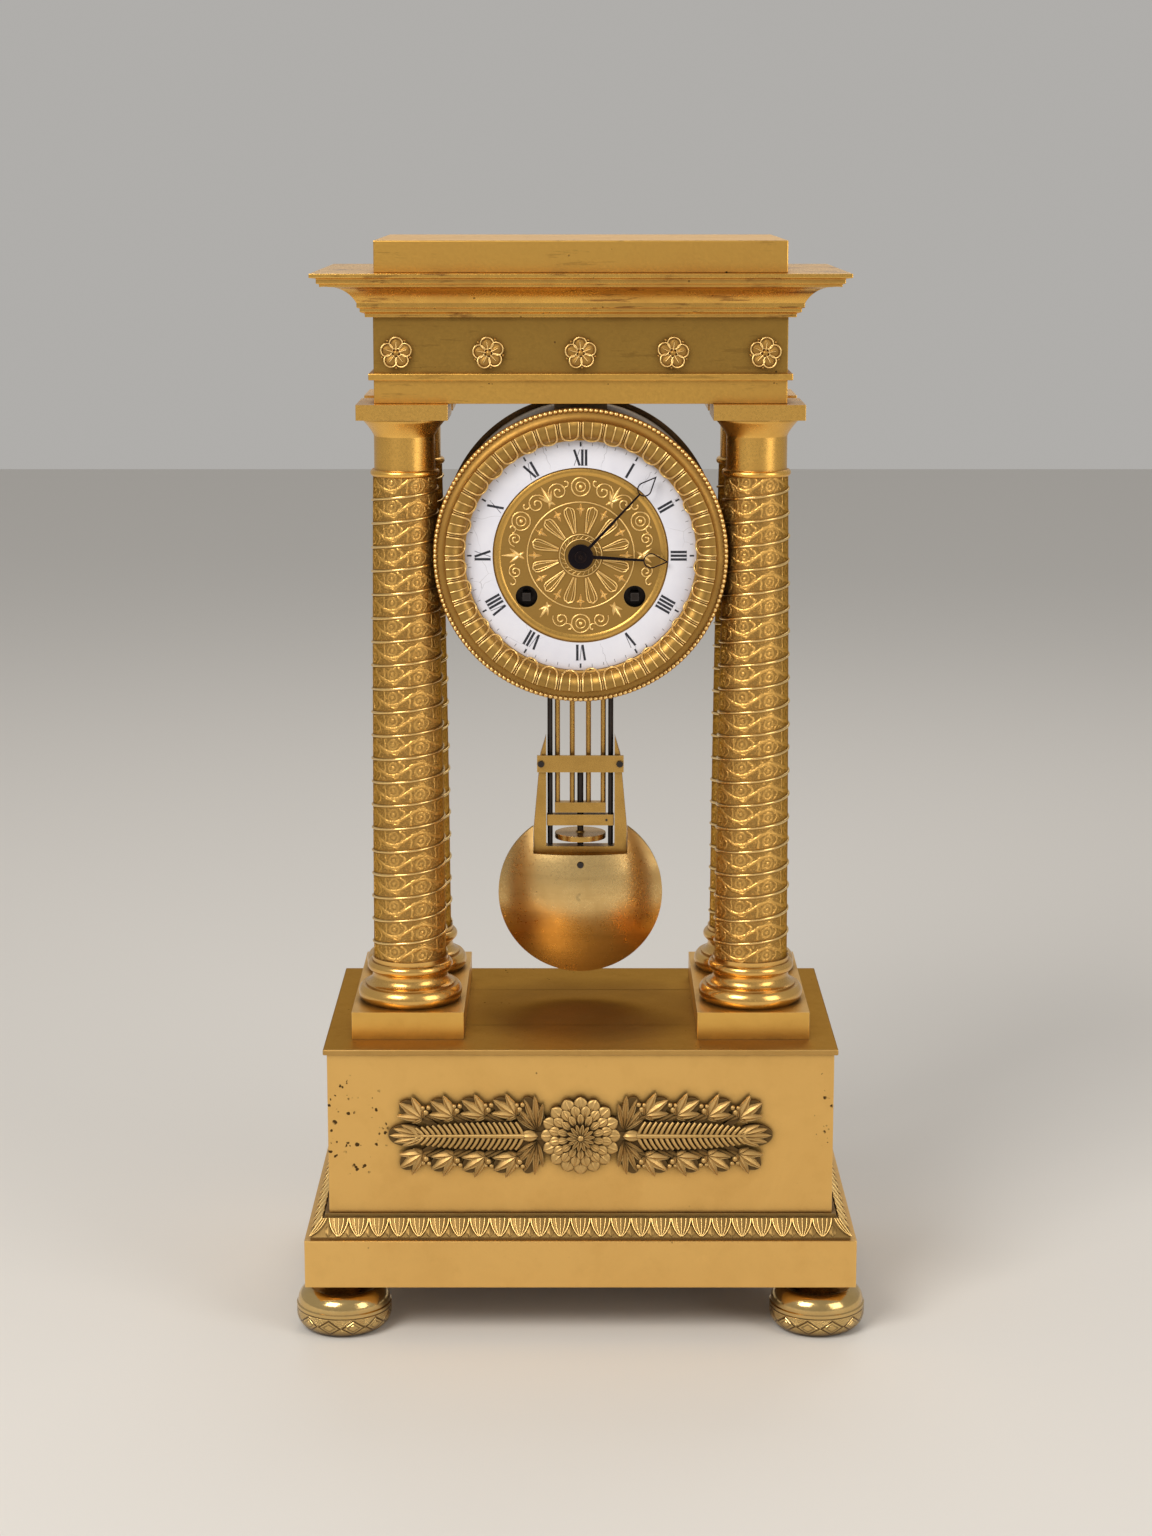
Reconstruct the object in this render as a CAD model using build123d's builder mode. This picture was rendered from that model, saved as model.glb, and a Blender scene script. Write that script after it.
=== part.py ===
from build123d import *
import math
import os

os.makedirs("parts", exist_ok=True)

# Portico clock of gilt brass: a footed base box, four columns, an entablature,
# and a drum movement with a gridiron pendulum hung between the columns.
# Millimetres. X to the right, Y to the back, Z up, origin on the table under the middle.

# Shared clearances
overrun = 1.0
running_fit = 0.05
easy_fit = 0.3

# Feet
foot_height = 25.0
foot_radius = 22.2
foot_inset_x = 16.6
foot_inset_y = 19.0
foot_shares = [
    (0.68, 0.0),
    ((0.91, 0.10), (1.0, 0.28)),
    (1.0, 0.48),
    (0.97, 0.5),
    ((0.90, 0.70), (0.72, 0.80)),
    ((0.55, 0.78), (0.42, 0.86)),
    (0.42, 0.90),
    (0.55, 0.92),
    (0.55, 1.0),
]

# Plinth and base
plinth_step_x = 11.0
plinth_step_y = 10.0
plinth_height = 22.7
base_board_height = 6.0
leaf_height = 10.5
leaf_reach = 8.2
leaf_shares = [
    (1.0, 0.0),
    (1.0, 0.12),
    ((0.78, 0.32), (0.30, 0.80)),
    (0.22, 0.84),
    (0.22, 1.0),
]
box_width = 233.0
box_depth = 140.0
box_height = 76.0
box_wall = 5.0
top_plate_overhang = 1.7
top_plate_height = 2.7

# Cast mount on the front of the base
mount_width = 177.0
mount_height = 38.0
mount_thickness = 2.4
mount_frond_shares = [(0.20, 0.18), (0.50, 0.16), (0.78, 0.09), (0.93, 0.03), (0.95, 0.0)]
mount_rib_thickness = 3.2
mount_rib_shares = [(0.20, 0.045), (0.88, 0.015), (0.90, 0.0)]
mount_end_leaf_length = 17.0
mount_end_leaf_width = 10.5
mount_calyx_place = 21.5
mount_calyx_rise = 9.5
mount_calyx_length = 19.0
mount_calyx_width = 9.0
mount_calyx_lean = 66.0
mount_tuft_count = 4
mount_tuft_place = 34.5
mount_tuft_pitch = 14.4
mount_tuft_rise = 13.2
mount_tuft_fall = 1.4
mount_tuft_length = 12.5
mount_tuft_width = 8.4
mount_tuft_lean = 34.0
mount_stem_length = 16.5
mount_stem_width = 2.6
mount_berry_radius = 2.2
mount_berry_reach = 6.0
mount_rosette_radius = 18.4
mount_rosette_thickness = 4.4
mount_petals = 16
mount_petal_share = 0.175
mount_tier_shares = [(1.0, 0.68), (0.75, 0.84), (0.50, 1.0)]
mount_boss_radius = 4.0
mount_boss_taper = 30

# Columns
column_x = 80.0
column_y = 28.5
column_plinth_width = 52.0
column_plinth_depth = 110.0
column_plinth_height = 13.0
column_plinth_wall = 4.0
column_base_radius = 24.3
column_base_height = 21.0
column_base_shares = [
    (0.93, 0.0),
    ((1.0, 0.18), (0.93, 0.36)),
    (0.86, 0.36),
    (0.86, 0.40),
    ((0.745, 0.50), (0.745, 0.68)),
    (0.76, 0.68),
    ((0.82, 0.79), (0.76, 0.90)),
    (0.73, 0.90),
    (0.73, 1.0),
]
shaft_foot_radius = 16.9
shaft_head_radius = 14.5
shaft_height = 225.0
shaft_swell = 0.35
shaft_bore_radius = 11.5
capital_height = 33.4
capital_radius = 16.8
capital_neck_shares = [
    (0.88, 0.0),
    ((0.935, 0.045), (0.88, 0.09)),
    (0.825, 0.09),
    (0.825, 0.60),
    (0.86, 0.60),
    ((0.89, 0.63), (0.86, 0.66)),
    (0.845, 0.66),
    ((0.91, 0.76), (1.0, 0.79)),
]
abacus_width = 41.2
abacus_share = 0.21
tie_rod_radius = 2.5
tie_rod_hole_radius = 2.9
tie_nut_width = 8.0
tie_nut_height = 4.0

# Entablature
architrave_width = 185.4
architrave_depth = 85.0
architrave_height = 10.6
architrave_wall = 4.0
architrave_bay_margin = 15.0
taenia_overhang = 2.3
taenia_height = 3.0
frieze_height = 25.0
frieze_wall = 4.0
cornice_height = 19.9
cornice_reach = 26.1
cornice_shares = [
    (0.13, 0.0),
    (0.13, 0.08),
    (0.21, 0.12),
    (0.21, 0.20),
    (0.26, 0.22),
    (0.26, 0.32),
    ((0.36, 0.50), (0.84, 0.70)),
    (0.84, 0.76),
    (0.89, 0.78),
    (0.89, 0.88),
    (1.0, 0.91),
    (1.0, 1.0),
]
top_block_width = 182.0
top_block_depth = 120.0
top_block_height = 14.1
top_block_wall = 4.0

# Rosettes of the frieze
rosette_count = 5
rosette_pitch = 44.0
rosette_radius = 7.5
rosette_thickness = 2.2
rosette_petals = 6
rosette_petal_share = 0.34
rosette_boss_share = 0.28

# Drum, bezel and dial
dial_height = 360.5
drum_radius = 63.5
drum_wall = 1.6
drum_front = -37.5
drum_back = 48.0
saddle_width = 24.0
saddle_depth = 56.0
bezel_radius = 67.0
bezel_sight_radius = 52.5
bezel_depth = 10.4
bezel_seat_radius = 55.8
bezel_seat_depth = 2.6
bezel_shares = [
    (0.89, 0.13),
    ((1.0, 0.245), (0.89, 0.36)),
    (0.84, 0.36),
    ((0.66, 0.47), (0.60, 0.78)),
    (0.575, 0.88),
    (0.565, 0.97),
    ((0.37, 0.98), (0.055, 0.58)),
    (0.0, 0.54),
]
dial_plate_thickness = 1.5
dial_plate_gap = 0.4
dial_ring_inner = 40.0
dial_ring_thickness = 2.4
dial_ring_gap = 0.3
dial_centre_thickness = 1.4
dial_foot_radius = 2.0
dial_foot_place = 46.0
dial_foot_angles = [30.0, 150.0, 270.0]
winding_x = 24.6
winding_drop = 18.8
winding_hole_radius = 5.0
dial_bore_radius = 3.3

# Movement plates and what they carry; places are measured from the dial's centre
plate_radius = 52.0
plate_thickness = 2.5
front_plate_front = -28.0
back_plate_front = 12.0
pillar_radius = 2.8
pillar_place = 46.0
pillar_angles = [45.0, 135.0, 250.0, 290.0]
arbor_radius = 1.0
pivot_radius = 0.8
gear_tooth_module = 0.75
motion_module = 0.5
count_module = 0.6
tooth_tip_share = 0.7
tooth_root_share = 1.1
tooth_top_half_share = 0.10
tooth_base_half_share = 0.24
wheel_thickness = 1.2
pinion_length = 3.5
crossing_share = 0.80
crossing_hub_share = 0.34
crossing_arm_width = 2.0
crossing_arms = 4

great_teeth = 50
great_pinion_leaves = 8
intermediate_teeth = 32
centre_pinion_leaves = 8
centre_teeth = 32
third_pinion_leaves = 7
third_teeth = 30
escape_pinion_leaves = 6
escape_teeth = 24
escape_radius = 8.6
escape_root_share = 0.74
escape_gullet_shares = (0.2, 0.75)
cannon_leaves = 10
minute_teeth = 30
minute_pinion_leaves = 8
hour_teeth = 32
count_teeth = 54
pin_pinion_leaves = 6
pin_wheel_radius = 8.0
pin_wheel_pins = 10
pin_radius = 0.5
pin_length = 2.8
count_disc_radius = 13.0
count_notches = 12
count_notch_width = 1.6
count_notch_depth = 1.6

barrel_radius = 15.5
barrel_length = 20.0
barrel_front = -20.0
barrel_cap = 1.2
barrel_arbor_radius = 3.0
winding_square_width = 3.6
winding_square_front = -40.5
ratchet_radius = 7.5
ratchet_root_share = 0.82
ratchet_teeth = 16
ratchet_front = -30.2

cannon_radius = 1.7
cannon_front = -43.9
cannon_gear_front = -31.6
hour_pipe_radius = 2.6
hour_wheel_front = -34.6
hour_pipe_front = -42.1
minute_wheel_front = -31.0
minute_wheel_angle = 60.0
centre_wheel_front = -14.0
intermediate_wheel_front = 5.0
intermediate_angle = 2.7
third_wheel_front = -6.0
third_place = (-5.36, 13.61)
escape_wheel_front = 7.6
pin_wheel_front = -16.0
count_wheel_front = 8.6
count_disc_front = 15.4
count_place = (-32.04, 1.64)
pin_wheel_place = (-21.71, 16.39)

# Hands
hand_thickness = 0.7
hour_hand_front = -42.1
minute_hand_front = -43.9
hand_hub_radius = 5.75
minute_length = 50.0
minute_ring_place = 42.0
minute_ring_radius = 3.3
minute_width = 1.5
hour_length = 40.0
hour_ring_place = 32.0
hour_ring_radius = 3.5
hour_width = 1.8
ring_wall = 0.55
minute_angle = 43.2
hour_angle = 93.6

# Pallets, crutch and suspension
pivot_rise = 38.5
pallet_reach = 12.5
pallet_span = 50.0
pallet_toe = 12.0
pallet_width = 2.2
pallet_nib_width = 1.6
pallet_gap = 1.4
crutch_front = 17.0
crutch_thickness = 1.4
crutch_width = 3.0
crutch_length = 22.0
crutch_pin_radius = 0.9
cock_width = 12.0
cock_thickness = 2.5
cock_rise = 6.0
cock_jaw_depth = 7.0
cock_slit = 0.8
spring_thickness = 0.3
spring_width = 5.0
spring_top = 1.6
spring_length = 9.0

# Gridiron pendulum
pendulum_y = 24.0
grid_top_drop = 16.0
grid_bar_width = 34.0
grid_bar_height = 6.0
grid_bar_thickness = 5.0
steel_rod_x = 14.6
steel_rod_radius = 1.25
brass_rod_x = [3.9, 11.0]
brass_rod_radius = 1.25
brass_end_bar_z = 228.0
brass_end_bar_width = 24.6
brass_end_bar_height = 5.0
steel_end_bar_z = 221.6
steel_end_bar_width = 32.4
steel_end_bar_height = 5.4
rating_rod_radius = 1.5
rating_nut_radius = 12.3
rating_nut_height = 2.6
rating_dome_radius = 2.8
rating_nut_z = 215.4
stirrup_foot_z = 208.6
stirrup_foot_height = 3.0
stirrup_tip_z = 266.0
stirrup_depth = 7.0
stirrup_foot_width = 45.0
stirrup_inner_width = 33.0
stirrup_head_width = 38.6
stirrup_block_z = 221.0
stirrup_bar_z = 248.3
stirrup_bar_height = 8.2
stirrup_bar_width = 41.6
stirrup_bar_thickness = 1.6
stirrup_pin_radius = 1.7
stirrup_pin_proud = 0.5
stirrup_pin_x = 18.9
bob_radius = 39.7
bob_z = 188.4
bob_half_depth = 13.5
bob_rim_half_depth = 1.6
bob_notch_clearance = 0.2
swing_room_angle = 6.0

# Bell, its stand and the hammer
bell_radius = 33.0
bell_drop = 8.5
bell_mouth = 29.6
bell_depth = 11.8
bell_wall = 1.6
bell_crown_radius = 17.0
stand_x = 36.0
stand_drop = 30.0
stand_radius = 2.5
stand_arm_width = 6.0
stand_arm_thickness = 2.0
bell_screw_radius = 3.0
bell_screw_height = 1.6
hammer_place = (-45.0, 16.0)
hammer_head_place = (-36.3, 1.2)
hammer_head_radius = 3.4
hammer_head_front = 17.4
hammer_head_length = 16.0
hammer_arm_width = 2.6
hammer_arm_thickness = 1.6
hammer_tail_length = 14.3
hammer_tail_y = -18.6

# Rear ring, hinged rear door and its pin
rear_ring_radius = 66.0
rear_ring_inner = 56.5
rear_ring_thickness = 2.0
rear_door_gap = 0.5
rear_door_thickness = 1.5
hinge_x = -61.0
hinge_pin_radius = 0.9
hinge_knuckle_radius = 1.8
hinge_knuckle_length = 6.0
hinge_gap = 0.3
door_knob_radius = 2.6
door_knob_height = 4.0
door_knob_place = 46.0

# Levels worked out from the sizes above
plinth_z = foot_height
leaf_z = plinth_z + plinth_height
box_z = leaf_z + leaf_height
box_top_z = box_z + box_height
column_plinth_z = box_top_z + top_plate_height
column_base_z = column_plinth_z + column_plinth_height
shaft_z = column_base_z + column_base_height
capital_z = shaft_z + shaft_height
architrave_z = capital_z + capital_height
frieze_z = architrave_z + architrave_height + taenia_height
cornice_z = frieze_z + frieze_height
top_block_z = cornice_z + cornice_height
plinth_width = box_width + 2 * plinth_step_x
plinth_depth = box_depth + 2 * plinth_step_y
foot_x = plinth_width / 2 - foot_inset_x
foot_y = plinth_depth / 2 - foot_inset_y
dial_plate_front = drum_front
pivot_z = dial_height + pivot_rise
back_plate_back = back_plate_front + plate_thickness
front_plate_back = front_plate_front + plate_thickness
box_inner_width = box_width - 2 * box_wall
box_inner_depth = box_depth - 2 * box_wall
corners = [(sx, sy) for sy in (-1, 1) for sx in (-1, 1)]


def save(piece, name):
    """Label a finished piece and write it under its own name."""
    piece.part.label = name
    export_step(piece.part, "parts/" + name + ".step")


def outline(shares, width, height, x=0, y=0):
    """Draw straight runs, and arcs where a pair of points is given, through shares of a size."""
    here = None
    for step in shares:
        curved = isinstance(step[0], tuple)
        points = [(x + width * a, y + height * b) for a, b in (step if curved else [step])]
        if curved:
            ThreePointArc(here, *points)
        elif here is not None:
            Line(here, points[0])
        here = points[-1]
    return here


def upright_plane(x, y):
    """A plane through a vertical axis: radius along its x, height along its y."""
    return Plane(origin=(x, y, 0), x_dir=(1, 0, 0), z_dir=(0, -1, 0))


def dial_plane(y, x=0, z=dial_height):
    """A plane facing the front at depth y; what is extruded from it backwards has a minus sign."""
    return Plane(origin=(x, y, z), x_dir=(1, 0, 0), z_dir=(0, -1, 0))


def turn_upright(shares, radius, base, height, x, y, bore=0):
    """Turn an outline, given as shares of radius and height, round a vertical axis."""
    with BuildSketch(upright_plane(x, y)) as profile:
        with BuildLine():
            first = (radius * shares[0][0], base + height * shares[0][1])
            last = outline(shares, radius, height, 0, base)
            Polyline(last, (bore, last[1]), (bore, first[1]), first)
        make_face()
    revolve(profile.sketch, axis=Axis((x, y, 0), (0, 0, 1)))


def disc(front, length, radius, x=0, z=dial_height, bore=0, mode=Mode.ADD):
    """A round plate or rod on an axis that runs from front to back."""
    with BuildSketch(dial_plane(front, x, z)) as profile:
        Circle(radius)
        if bore:
            Circle(bore, mode=Mode.SUBTRACT)
    extrude(profile.sketch, amount=-length, mode=mode)


def block(low, high, mode=Mode.ADD):
    """A straight block between two corners."""
    middle = [(a + b) / 2 for a, b in zip(low, high)]
    with Locations(tuple(middle)):
        Box(*[b - a for a, b in zip(low, high)], mode=mode)


def rod(x, y, low, high, radius, mode=Mode.ADD):
    """An upright round rod."""
    with Locations((x, y, (low + high) / 2)):
        Cylinder(radius, high - low, mode=mode)


def moulding(width, depth, base, height, reach, shares):
    """A rectangular slab whose edge outline runs all round and is mitred at its corners."""
    for plane, half, other in ((Plane.XZ, width / 2, depth / 2), (Plane.YZ, depth / 2, width / 2)):
        with BuildSketch(plane) as profile:
            with BuildLine():
                first = (half + reach * shares[0][0], base + height * shares[0][1])
                last = outline(shares, reach, height, half, base)
                Polyline(last, (0, last[1]), (0, first[1]), first)
            make_face()
            mirror(about=Plane.YZ)
        far = other + reach + overrun
        mode = Mode.ADD if plane == Plane.XZ else Mode.INTERSECT
        extrude(profile.sketch, amount=far, both=True, mode=mode)


# Feet: four turned buns, screwed under the corners of the plinth
with BuildPart() as feet:
    for sx, sy in corners:
        turn_upright(foot_shares, foot_radius, 0, foot_height, sx * foot_x, sy * foot_y)
save(feet, "feet")

# Plinth: a cast frame, with the board that closes the base from below
with BuildPart() as plinth:
    block(
        (-plinth_width / 2, -plinth_depth / 2, plinth_z),
        (plinth_width / 2, plinth_depth / 2, leaf_z),
    )
    block(
        (-box_inner_width / 2, -box_inner_depth / 2, plinth_z - overrun),
        (box_inner_width / 2, box_inner_depth / 2, leaf_z + overrun),
        mode=Mode.SUBTRACT,
    )
save(plinth, "plinth")

with BuildPart() as base_board:
    block(
        (-box_inner_width / 2, -box_inner_depth / 2, plinth_z),
        (box_inner_width / 2, box_inner_depth / 2, plinth_z + base_board_height),
    )
save(base_board, "base_board")

# Leaf moulding: a frame between the plinth and the box
with BuildPart() as leaf_moulding:
    moulding(box_width, box_depth, leaf_z, leaf_height, leaf_reach, leaf_shares)
    block(
        (-box_inner_width / 2, -box_inner_depth / 2, leaf_z - overrun),
        (box_inner_width / 2, box_inner_depth / 2, box_z + overrun),
        mode=Mode.SUBTRACT,
    )
save(leaf_moulding, "leaf_moulding")

# Base box: four walls and a top, open below
with BuildPart() as base_box:
    block(
        (-box_width / 2, -box_depth / 2, box_z),
        (box_width / 2, box_depth / 2, box_top_z),
    )
    block(
        (-box_inner_width / 2, -box_inner_depth / 2, box_z - overrun),
        (box_inner_width / 2, box_inner_depth / 2, box_top_z - box_wall),
        mode=Mode.SUBTRACT,
    )
    for sx, sy in corners:
        rod(
            sx * column_x,
            sy * column_y,
            box_top_z - box_wall - overrun,
            box_top_z + overrun,
            tie_rod_hole_radius,
            mode=Mode.SUBTRACT,
        )
save(base_box, "base_box")

with BuildPart() as base_top_plate:
    half_x = box_width / 2 + top_plate_overhang
    half_y = box_depth / 2 + top_plate_overhang
    block((-half_x, -half_y, box_top_z), (half_x, half_y, column_plinth_z))
    for sx, sy in corners:
        rod(
            sx * column_x,
            sy * column_y,
            box_top_z - overrun,
            column_plinth_z + overrun,
            tie_rod_hole_radius,
            mode=Mode.SUBTRACT,
        )
save(base_top_plate, "base_top_plate")


def long_leaf(shares):
    """The outline of a leaf along x, from shares of the mount's half width and height."""
    half = [(mount_width / 2 * a, mount_height * b) for a, b in shares[:-1]]
    tip = mount_width / 2 * shares[-1][0]
    right = [*half, (tip, 0), *[(x, -z) for x, z in reversed(half)]]
    return [*right, *[(-x, -z) for x, z in right]]


# Cast mount: a rosette of three tiers of petals between two palm fronds, pinned flat to the
# front of the box; each frond has an end leaf and rows of leafy tufts on slanting stems
with BuildPart() as base_mount:
    mount_z = box_z + box_height / 2
    mount_plane = dial_plane(-box_depth / 2, 0, mount_z)
    with BuildSketch(mount_plane) as fronds:
        with BuildLine():
            Polyline(*long_leaf(mount_frond_shares), close=True)
        make_face()
        for side in (-1, 1):
            with Locations((side * (mount_width - mount_end_leaf_length) / 2, 0)):
                Ellipse(mount_end_leaf_length / 2, mount_end_leaf_width / 2)
            for level in (-1, 1):
                lean = 90 - side * (90 - level * mount_calyx_lean)
                with Locations(Location((side * mount_calyx_place, level * mount_calyx_rise), lean)):
                    Ellipse(mount_calyx_length / 2, mount_calyx_width / 2)
                lean = 90 - side * (90 - level * mount_tuft_lean)
                for index in range(mount_tuft_count):
                    fall = mount_tuft_fall * (index / (mount_tuft_count - 1)) ** 2
                    tuft_x = mount_tuft_place + index * mount_tuft_pitch
                    tuft_z = level * (mount_tuft_rise - fall)
                    with Locations(Location((side * tuft_x, tuft_z), lean)):
                        Ellipse(mount_tuft_length / 2, mount_tuft_width / 2)
                        Rectangle(
                            mount_stem_length,
                            mount_stem_width,
                            align=(Align.MAX, Align.CENTER),
                        )
                    with Locations((side * (tuft_x - mount_berry_reach), tuft_z)):
                        Circle(mount_berry_radius)
    extrude(fronds.sketch, amount=mount_thickness)
    with BuildSketch(mount_plane) as ribs:
        with BuildLine():
            Polyline(*long_leaf(mount_rib_shares), close=True)
        make_face()
    extrude(ribs.sketch, amount=mount_rib_thickness)
    for reach_share, rise_share in mount_tier_shares:
        tier_radius = mount_rosette_radius * reach_share
        petal_radius = tier_radius * mount_petal_share
        with BuildSketch(mount_plane) as tier:
            Circle(tier_radius - petal_radius)
            with PolarLocations(tier_radius - petal_radius, mount_petals):
                Circle(petal_radius)
        extrude(tier.sketch, amount=mount_rosette_thickness * rise_share)
    with BuildSketch(dial_plane(-box_depth / 2 - mount_rosette_thickness, 0, mount_z)) as boss:
        Circle(mount_boss_radius)
    extrude(boss.sketch, amount=mount_thickness, taper=mount_boss_taper)
save(base_mount, "base_mount")

# Column plinths: one shallow box, open below, under each pair of columns
with BuildPart() as column_plinths:
    for side in (-1, 1):
        middle_x = side * column_x
        half_x = column_plinth_width / 2
        half_y = column_plinth_depth / 2
        block(
            (middle_x - half_x, -half_y, column_plinth_z),
            (middle_x + half_x, half_y, column_base_z),
        )
        half_x -= column_plinth_wall
        half_y -= column_plinth_wall
        block(
            (middle_x - half_x, -half_y, column_plinth_z - overrun),
            (middle_x + half_x, half_y, column_base_z - column_plinth_wall),
            mode=Mode.SUBTRACT,
        )
    for sx, sy in corners:
        rod(
            sx * column_x,
            sy * column_y,
            column_plinth_z - overrun,
            column_base_z + overrun,
            tie_rod_hole_radius,
            mode=Mode.SUBTRACT,
        )
save(column_plinths, "column_plinths")

# Column bases: two rounds with a hollow between them, turned and bored for the tie rod
with BuildPart() as column_bases:
    for sx, sy in corners:
        turn_upright(
            column_base_shares,
            column_base_radius,
            column_base_z,
            column_base_height,
            sx * column_x,
            sy * column_y,
            bore=tie_rod_hole_radius,
        )
save(column_bases, "column_bases")

# Column shafts: slightly swelled tubes that narrow towards the head
shaft_names = ["front_left", "front_right", "rear_left", "rear_right"]
for shaft_name, (sx, sy) in zip(shaft_names, corners):
    with BuildPart() as shaft:
        x = sx * column_x
        y = sy * column_y
        middle_radius = (shaft_foot_radius + shaft_head_radius) / 2 + shaft_swell
        with BuildSketch(upright_plane(x, y)) as half_section:
            with BuildLine():
                ThreePointArc(
                    (shaft_foot_radius, shaft_z),
                    (middle_radius, shaft_z + shaft_height / 2),
                    (shaft_head_radius, capital_z),
                )
                Polyline(
                    (shaft_head_radius, capital_z),
                    (shaft_bore_radius, capital_z),
                    (shaft_bore_radius, shaft_z),
                    (shaft_foot_radius, shaft_z),
                )
            make_face()
        revolve(half_section.sketch, axis=Axis((x, y, 0), (0, 0, 1)))
    save(shaft, "column_shaft_" + shaft_name)

# Capitals: necking, bead and echinus in one turning, with a square abacus on top
with BuildPart() as column_capitals:
    for sx, sy in corners:
        x = sx * column_x
        y = sy * column_y
        turn_upright(
            capital_neck_shares,
            capital_radius,
            capital_z,
            capital_height,
            x,
            y,
        )
        block(
            (x - abacus_width / 2, y - abacus_width / 2, architrave_z - abacus_share * capital_height),
            (x + abacus_width / 2, y + abacus_width / 2, architrave_z),
        )
        rod(
            x,
            y,
            capital_z - overrun,
            architrave_z + overrun,
            tie_rod_hole_radius,
            mode=Mode.SUBTRACT,
        )
save(column_capitals, "column_capitals")

# Tie rods: threaded rods through the columns, with a square nut at each end
tie_rod_low = box_top_z - box_wall - 2 * tie_nut_height
tie_rod_high = frieze_z + 2 * tie_nut_height
with BuildPart() as tie_rods:
    for sx, sy in corners:
        x = sx * column_x
        y = sy * column_y
        rod(x, y, tie_rod_low, tie_rod_high, tie_rod_radius)
        half = tie_nut_width / 2
        for nut_z in (box_top_z - box_wall - tie_nut_height, frieze_z):
            block((x - half, y - half, nut_z), (x + half, y + half, nut_z + tie_nut_height))
save(tie_rods, "tie_rods")

# Architrave with its flat band, lightened from above between the tie rods
with BuildPart() as architrave:
    half_x = architrave_width / 2
    half_y = architrave_depth / 2
    taenia_z = architrave_z + architrave_height
    block((-half_x, -half_y, architrave_z), (half_x, half_y, taenia_z))
    block(
        (-half_x - taenia_overhang, -half_y - taenia_overhang, taenia_z),
        (half_x + taenia_overhang, half_y + taenia_overhang, frieze_z),
    )
    block(
        (-column_x + architrave_bay_margin, -half_y + architrave_wall, architrave_z + architrave_wall),
        (column_x - architrave_bay_margin, half_y - architrave_wall, frieze_z + overrun),
        mode=Mode.SUBTRACT,
    )
    for sx, sy in corners:
        rod(
            sx * column_x,
            sy * column_y,
            architrave_z - overrun,
            frieze_z + overrun,
            tie_rod_hole_radius,
            mode=Mode.SUBTRACT,
        )
save(architrave, "architrave")

# Frieze and cornice are frames, and the top block is a shallow box that closes them
with BuildPart() as frieze:
    block((-half_x, -half_y, frieze_z), (half_x, half_y, cornice_z))
    block(
        (-half_x + frieze_wall, -half_y + frieze_wall, frieze_z - overrun),
        (half_x - frieze_wall, half_y - frieze_wall, cornice_z + overrun),
        mode=Mode.SUBTRACT,
    )
save(frieze, "frieze")

with BuildPart() as cornice:
    moulding(
        architrave_width,
        architrave_depth,
        cornice_z,
        cornice_height,
        cornice_reach,
        cornice_shares,
    )
    block(
        (-half_x + frieze_wall, -half_y + frieze_wall, cornice_z - overrun),
        (half_x - frieze_wall, half_y - frieze_wall, top_block_z + overrun),
        mode=Mode.SUBTRACT,
    )
save(cornice, "cornice")

with BuildPart() as top_block:
    top_half_x = top_block_width / 2
    top_half_y = top_block_depth / 2
    block(
        (-top_half_x, -top_half_y, top_block_z),
        (top_half_x, top_half_y, top_block_z + top_block_height),
    )
    top_half_x -= top_block_wall
    top_half_y -= top_block_wall
    block(
        (-top_half_x, -top_half_y, top_block_z - overrun),
        (top_half_x, top_half_y, top_block_z + top_block_height - top_block_wall),
        mode=Mode.SUBTRACT,
    )
save(top_block, "top_block")

# Rosettes: small cast flowers pinned along the front of the frieze
with BuildPart() as frieze_rosettes:
    rosette_z = (frieze_z + cornice_z) / 2
    for index in range(rosette_count):
        rosette_x = (index - (rosette_count - 1) / 2) * rosette_pitch
        with BuildSketch(dial_plane(-architrave_depth / 2, rosette_x, rosette_z)) as flower:
            Circle(rosette_radius * (1 - rosette_petal_share))
            with PolarLocations(rosette_radius * (1 - rosette_petal_share), rosette_petals):
                Circle(rosette_radius * rosette_petal_share)
        extrude(flower.sketch, amount=rosette_thickness)
        boss_y = -architrave_depth / 2 - rosette_thickness
        with BuildSketch(dial_plane(boss_y, rosette_x, rosette_z)) as boss:
            Circle(rosette_radius * rosette_boss_share)
        extrude(boss.sketch, amount=rosette_thickness / 2)
save(frieze_rosettes, "frieze_rosettes")

# Drum: a sheet tube with a slot below for the pendulum
slot_drop = pivot_z - dial_height + drum_radius
grid_slot_half = grid_bar_width / 2 + math.tan(math.radians(swing_room_angle)) * slot_drop
with BuildPart() as drum:
    disc(drum_front, drum_back - drum_front, drum_radius, bore=drum_radius - drum_wall)
    block(
        (
            -grid_slot_half,
            pendulum_y - grid_bar_thickness,
            dial_height - drum_radius - overrun,
        ),
        (
            grid_slot_half,
            pendulum_y + grid_bar_thickness,
            dial_height - drum_radius / 2,
        ),
        mode=Mode.SUBTRACT,
    )
save(drum, "drum")

# Saddle: the block that hangs the drum under the architrave
with BuildPart() as drum_saddle:
    block(
        (-saddle_width / 2, -saddle_depth / 2, dial_height),
        (saddle_width / 2, saddle_depth / 2, architrave_z),
    )
    disc(
        -saddle_depth / 2 - overrun,
        saddle_depth + 2 * overrun,
        drum_radius,
        mode=Mode.SUBTRACT,
    )
save(drum_saddle, "drum_saddle")

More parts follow.
